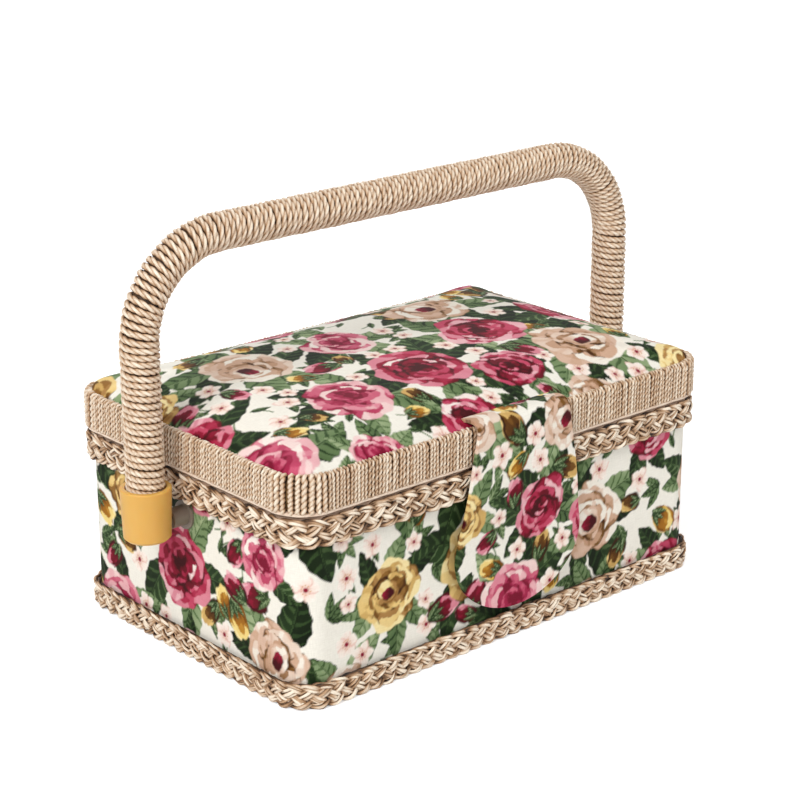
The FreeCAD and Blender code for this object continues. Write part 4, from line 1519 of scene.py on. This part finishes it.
@dataclass
class HandleWinding:
    """Straw cords wound round the handle's core from one ferrule to the other."""

    leg_x: float = 141.0 * MM
    bar_z: float = 188.5 * MM
    bend: float = 42.0 * MM
    foot_z: float = 75.5 * MM
    outer: float = 8.7 * MM
    cord: float = 1.62 * MM
    spacing: float = 3.0 * MM
    starts: int = 2
    plies: int = 3
    steps_per_turn: int = 46
    bed_radius: float = 6.5 * MM
    pitch_places: tuple[float, ...] = (0.0, 0.12, 0.24, 0.45, 1.0)
    pitches: tuple[float, ...] = (6.5, 9.0, 15.0, 10.0, 8.0)

    @property
    def length(self) -> float:
        """Length of the handle's centre line between the ferrules."""
        return 2 * (self.bar_z - self.bend - self.foot_z) + math.pi * self.bend + 2 * (self.leg_x - self.bend)

    def centre(self, along: np.ndarray) -> tuple[np.ndarray, np.ndarray]:
        """The centre line.

        Args:
            along: Lengths from the left foot.

        Returns:
            Its points, and its normals away from the middle of the handle.
        """
        leg, arc = self.bar_z - self.bend - self.foot_z, self.bend * math.pi / 2
        bar = 2 * (self.leg_x - self.bend)
        a = np.clip((along - leg) / self.bend, 0, math.pi / 2)
        b = np.clip((along - leg - arc - bar) / self.bend, 0, math.pi / 2)
        turn = a + b
        normal = np.stack([-np.cos(turn), np.zeros_like(turn), np.sin(turn)], -1)
        x = -self.leg_x + self.bend * (1 - np.cos(a)) + np.clip(along - leg - arc, 0, bar)
        x = x + self.bend * np.sin(b)
        z = self.foot_z + np.clip(along, 0, leg) + self.bend * np.sin(a) - self.bend * (1 - np.cos(b))
        z = z - np.clip(along - leg - 2 * arc - bar, 0, None)
        return np.stack([x, np.zeros_like(x), z], -1), normal

    def build(self) -> None:
        """Makes and dresses the cords and the dark bed under them, which is painted shade between the cords.
        """
        rng = np.random.default_rng(17)
        lead = self.spacing * self.starts
        turns = self.length / lead
        steps = int(turns * self.steps_per_turn)
        radius = self.outer - self.cord
        for start in range(self.starts):
            angle = np.linspace(0, turns * TAU, steps)
            stray = 0.3 * MM * np.sin(angle * 0.29 + 2 * start) * np.sin(angle * 0.117)
            along = np.clip(angle / TAU * lead + start * self.spacing + stray, 0, self.length)
            centre, normal = self.centre(along)
            out = np.cos(angle)[:, None] * normal + np.sin(angle)[:, None] * np.array([0.0, 1.0, 0.0])
            loose = 1 + 0.012 * np.sin(angle * 0.37 + start) + 0.008 * np.sin(angle * 1.91)
            path = centre + out * (radius * loose)[:, None]
            tones = rng.uniform(0.4, 0.6, self.plies)
            pitch = np.interp(along / self.length, self.pitch_places, self.pitches) * MM
            bundle = Bundle()
            bundle.twist(path, out, self.cord, pitch, rng.uniform(0, TAU), tones, 6, start * 1.7)
            dress(bundle.make(f"handle_cord_{start + 1}"), Palette.STRAW, "straw", "handle", "handle_wrap")
        self.bed()

    def bed(self) -> None:
        """Makes the dark underlay that shows between the cords: painted shade in the gaps."""
        along = np.linspace(0, self.length, 130)
        centre, normal = self.centre(along)
        bundle = Bundle()
        # Dark straw at a low tone: painted shade between the wraps.
        bundle.sweep(centre, normal, self.bed_radius, self.bed_radius, 16, 0.2)
        dress(bundle.make("handle_painted_shade_bed"), Palette.SHADE_UNDERLAY, "straw", "handle")


@dataclass
class Lining:
    """The satin inside: a quilted floor pad, gathered walls and a padded lid panel."""

    half_x: float = 114.6 * MM
    half_y: float = 72.1 * MM
    radius: float = 8.0 * MM
    quilt: float = 26.0 * MM
    hem_inset: float = 6.4 * MM
    hem_level: float = 87.12 * MM
    hem_half: float = 2.3 * MM
    hem_thick: float = 0.16 * MM

    def build(self) -> None:
        """Makes and dresses the lining."""
        floor = self.pad("floor_pad", 3.9 * MM, 3.6 * MM, 1)
        dress(floor, Palette.SATIN, "lining_satin", "box", "base_pad")
        panel = self.pad("lid_panel", 98.9 * MM, 2.7 * MM, -1)
        dress(panel, Palette.SATIN, "lining_satin", "lid", "lid_lining")
        low, high, inset = 3.9 * MM, 86.7 * MM, 9.0 * MM
        walls = self.curtain("wall_lining_cloth", low, high, inset, 0.85 * MM)
        dress(walls, Palette.SATIN, "lining_satin", "box", "wall_lining")
        around = Outline.taken_in(inset).length
        low, high, inset = 87.3 * MM, 98.9 * MM, 8.75 * MM
        rim = self.curtain("lid_lining_edge", low, high, inset, 0.6 * MM)
        dress(rim, Palette.SATIN, "lining_satin", "lid", "lid_lining")
        hem = dress(self.hem(), Palette.SATIN, "lining_satin", "lid", "lid_lining")
        around = Outline.taken_in(inset).length

    def hem(self) -> bpy.types.Object:
        """Makes the lining's edge turned under the lid's wall, open where the hinge leaves are let in."""
        line = Outline.taken_in(self.hem_inset)
        back = line.length / 2
        inner, outer = HINGE_X - HINGE_HALF, HINGE_X + HINGE_HALF
        bundle = Bundle()
        for start, end in ((back - inner, back + inner), (back + outer, back + line.length - outer)):
            flat, _ = line.at(np.linspace(start, end, int((end - start) / (2 * MM))))
            lift = np.tile((0.0, 0.0, 1.0), (len(flat), 1))
            bundle.sweep(upright(flat, self.hem_level), lift, self.hem_half, self.hem_thick, 10, 0.5)
        return bundle.make("lid_lining_hem")

    def pad(self, name: str, level: float, thick: float, facing: int) -> bpy.types.Object:
        """Makes a quilted pad.

        Args:
            name: The piece's name.
            level: Height of its flat side.
            thick: Its thickness.
            facing: 1 for a pad that faces up, -1 for one that faces down.

        Returns:
            The piece.
        """
        piece = add_grid(name, 170, 108)
        grid = points_of(piece)
        plan = rounded_plan(grid, self.half_x, self.half_y, self.radius)
        rim = np.clip((1 - np.abs(grid[:, :2]).max(1)) / 0.05, 0, 1)
        seam_a = np.abs(np.sin(np.pi * (plan[:, 0] + plan[:, 1]) / self.quilt))
        seam_b = np.abs(np.sin(np.pi * (plan[:, 0] - plan[:, 1]) / self.quilt))
        puff = np.sqrt(np.sqrt(seam_a * seam_b))
        rise = thick * np.sqrt(1 - (1 - rim) ** 2) * (0.45 + 0.55 * puff) + 0.4 * MM
        move_points(piece, np.column_stack([plan, level + facing * rise]))
        close_under(piece, -facing * 0.4 * MM)
        smooth(piece, math.radians(50))
        return piece

    def curtain(
        self, name: str, bottom: float, top: float, inset: float, half_thick: float
    ) -> bpy.types.Object:
        """Makes a wall of gathered satin.

        Args:
            name: The piece's name.
            bottom: Its lower edge.
            top: Its upper edge.
            inset: Where its middle is.
            half_thick: Half the room that it takes.

        Returns:
            The piece.
        """
        line = Outline.taken_in(inset)
        samples = int(round(line.length / (1.5 * MM)))
        along = np.arange(samples) * line.length / samples
        flat, normal = line.at(along)
        rng = np.random.default_rng(3)
        ruffle = Plait.wander(rng, along, line.length, 0.3 * half_thick)
        bundle = Bundle()
        path = upright(flat - normal * ruffle[:, None], (bottom + top) / 2)
        bundle.sweep(path, upright(normal, 0.0), (top - bottom) / 2, half_thick * 0.7, 24, 0.5, True)
        piece = bundle.make(name)
        points = points_of(piece)
        square = (points[:, 2] - (bottom + top) / 2) / ((top - bottom) / 2)
        points[:, 2] = (bottom + top) / 2 + np.sin(square * math.pi / 2) * (top - bottom) / 2
        move_points(piece, points)
        return piece


@dataclass
class Underside:
    """The plain cloth glued under the base board."""

    half_x: float = 121.0 * MM
    half_y: float = 78.5 * MM
    radius: float = 14.0 * MM
    top: float = 0.8 * MM

    def build(self) -> None:
        """Makes and dresses the cloth."""
        piece = add_grid("base_cloth_sheet", 60, 40)
        plan = rounded_plan(points_of(piece), self.half_x, self.half_y, self.radius)
        move_points(piece, np.column_stack([plan, np.full(len(plan), self.top)]))
        close_under(piece, -0.75 * MM)
        dress(piece, Palette.FOOTCLOTH, "base_cloth", "box", "base_cover")


class Fitting(Enum):
    """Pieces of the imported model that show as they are, with their finishes."""

    FERRULES = (Palette.AMBER, ("ferrule_left", "ferrule_right"))
    BUSHES = (Palette.CLOUDY, ("pivot_bush_left", "pivot_bush_right"))
    STEEL = (Palette.STEEL, (
        "pivot_pin_left", "pivot_pin_right", "hinge_box_leaf_left", "hinge_box_leaf_right",
        "hinge_lid_leaf_left", "hinge_lid_leaf_right", "hinge_pin_left", "hinge_pin_right",
        "hinge_box_brads", "hinge_lid_brads", "clasp_plate",
    ))
    BOARDS = (Palette.BOARD, ("base_board", "wall_board", "lid_board", "lid_rim"))
    CORE = (Palette.CORE, ("handle_core",))

    def finish(self) -> None:
        """Gives the pieces their finish."""
        palette, names = self.value
        for name in names:
            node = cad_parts[name]
            node.data.materials.clear()
            node.data.materials.append(palette.made())
            LOG.info("%s: %s", name, palette.name.lower())


@dataclass
class Studio:
    """Pale floor, soft light and the photograph's viewpoint."""

    azimuth: float = -41.265
    elevation: float = 19.082
    roll: float = -0.157
    shift_right: float = 2.028 * MM
    shift_up: float = 38.417 * MM
    distance: float = 1024.678 * MM
    target_z: float = 50.0 * MM
    focal_pixels: float = 2180.891
    image_pixels: float = 800.0
    sensor: float = 36.0
    ambient: float = 0.4
    lift: float = 0.5

    def build(self) -> None:
        """Sets up floor, light and camera."""
        self.floor()
        self.world()
        self.lamp("key", (-1.9, -0.75, 1.9), 1.2, 50.0)
        self.lamp("fill", (0.9, -2.0, 1.3), 1.6, 14.0)
        self.lamp("back", (1.1, 1.9, 1.5), 1.6, 14.0)
        self.camera()
        bpy.context.scene.view_settings.view_transform = "Standard"

    def floor(self) -> None:
        """Adds the floor, white to the camera but for the box's shadow."""
        bpy.ops.object.select_all(action="DESELECT")
        bpy.ops.mesh.primitive_plane_add(size=8.0, location=(0, 0, -0.02 * MM))
        piece = bpy.context.active_object
        piece.name = "floor"
        n = Nodes("floor_paper")
        mottle = n.noise(n.place(), 3.0)
        seen = n.add("ShaderNodeLightPath", None, None, "Is Camera Ray")
        n.close({
            "Base Color": n.mix(mottle, (0.88, 0.88, 0.88), (0.92, 0.92, 0.92)),
            "Roughness": 0.9,
            "Emission Color": n.mix(seen, (0.0, 0.0, 0.0), (self.lift, self.lift, self.lift)),
            "Emission Strength": 1.0,
        })
        piece.data.materials.append(n.material)

    def world(self) -> None:
        """Lights the scene from all round, and shows white behind it."""
        world = bpy.data.worlds.new("studio")
        bpy.context.scene.world = world
        world.use_nodes = True
        tree = world.node_tree
        path = tree.nodes.new("ShaderNodeLightPath")
        back = tree.nodes["Background"]
        strength = tree.nodes.new("ShaderNodeMath")
        strength.operation = "MULTIPLY_ADD"
        tree.links.new(path.outputs["Is Camera Ray"], strength.inputs[0])
        strength.inputs[1].default_value = 1.0 - self.ambient
        strength.inputs[2].default_value = self.ambient
        tree.links.new(strength.outputs[0], back.inputs["Strength"])
        back.inputs["Color"].default_value = (1.0, 1.0, 1.0, 1.0)

    def lamp(self, name: str, place: tuple[float, float, float], size: float, power: float) -> None:
        """Adds one soft lamp that faces the box.

        Args:
            name: The lamp's name.
            place: Where it stands.
            size: How wide it is.
            power: Its power in watts.
        """
        data = bpy.data.lights.new(name, "AREA")
        data.size = size
        data.energy = power
        lamp = bpy.data.objects.new(name, data)
        bpy.context.scene.collection.objects.link(lamp)
        lamp.location = place
        lamp.rotation_euler = (Vector((0, 0, 0.08)) - Vector(place)).to_track_quat("-Z", "Y").to_euler()

    def camera(self) -> None:
        """Sets the camera at the viewpoint fitted to the photograph."""
        a, e, r = (math.radians(v) for v in (self.azimuth, self.elevation, self.roll))
        back = Vector((math.sin(a) * math.cos(e), -math.cos(a) * math.cos(e), math.sin(e)))
        level = Vector((math.cos(a), math.sin(a), 0))
        up = back.cross(level)
        right = math.cos(r) * level + math.sin(r) * up
        top = math.cos(r) * up - math.sin(r) * level
        spot = Vector((0, 0, self.target_z)) + right * self.shift_right + top * self.shift_up
        spot = spot + back * self.distance
        data = bpy.data.cameras.new("view")
        data.sensor_width = self.sensor
        data.lens = self.sensor * self.focal_pixels / self.image_pixels
        data.clip_start = 0.01
        camera = bpy.data.objects.new("view", data)
        bpy.context.scene.collection.objects.link(camera)
        camera.matrix_world = Matrix.Translation(spot) @ Matrix((right, top, back)).transposed().to_4x4()
        bpy.context.scene.camera = camera


def main() -> None:
    """Builds every piece in order."""
    logging.basicConfig(level=logging.INFO, format="%(name)s %(message)s")
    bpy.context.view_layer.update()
    Studio().build()
    for fitting in Fitting:
        fitting.finish()
    for part in (
        BodyCloth(),
        LidCushion(),
        ClosingFlap(),
        LidBand(),
        BindingTape(),
        Plait("rim_plait", "rim_braid", 73.0 * MM, 13.0 * MM, 2, backing_top=86.7 * MM, backing=Palette.TAPE),
        Plait("base_plait", "base_braid", 0.1 * MM, 12.0 * MM, 8, crossing=38.0 * MM, wind=29.0 * MM),
        HandleWinding(),
        Lining(),
        Underside(),
    ):
        part.build()


if __name__ == "__main__":
    main()
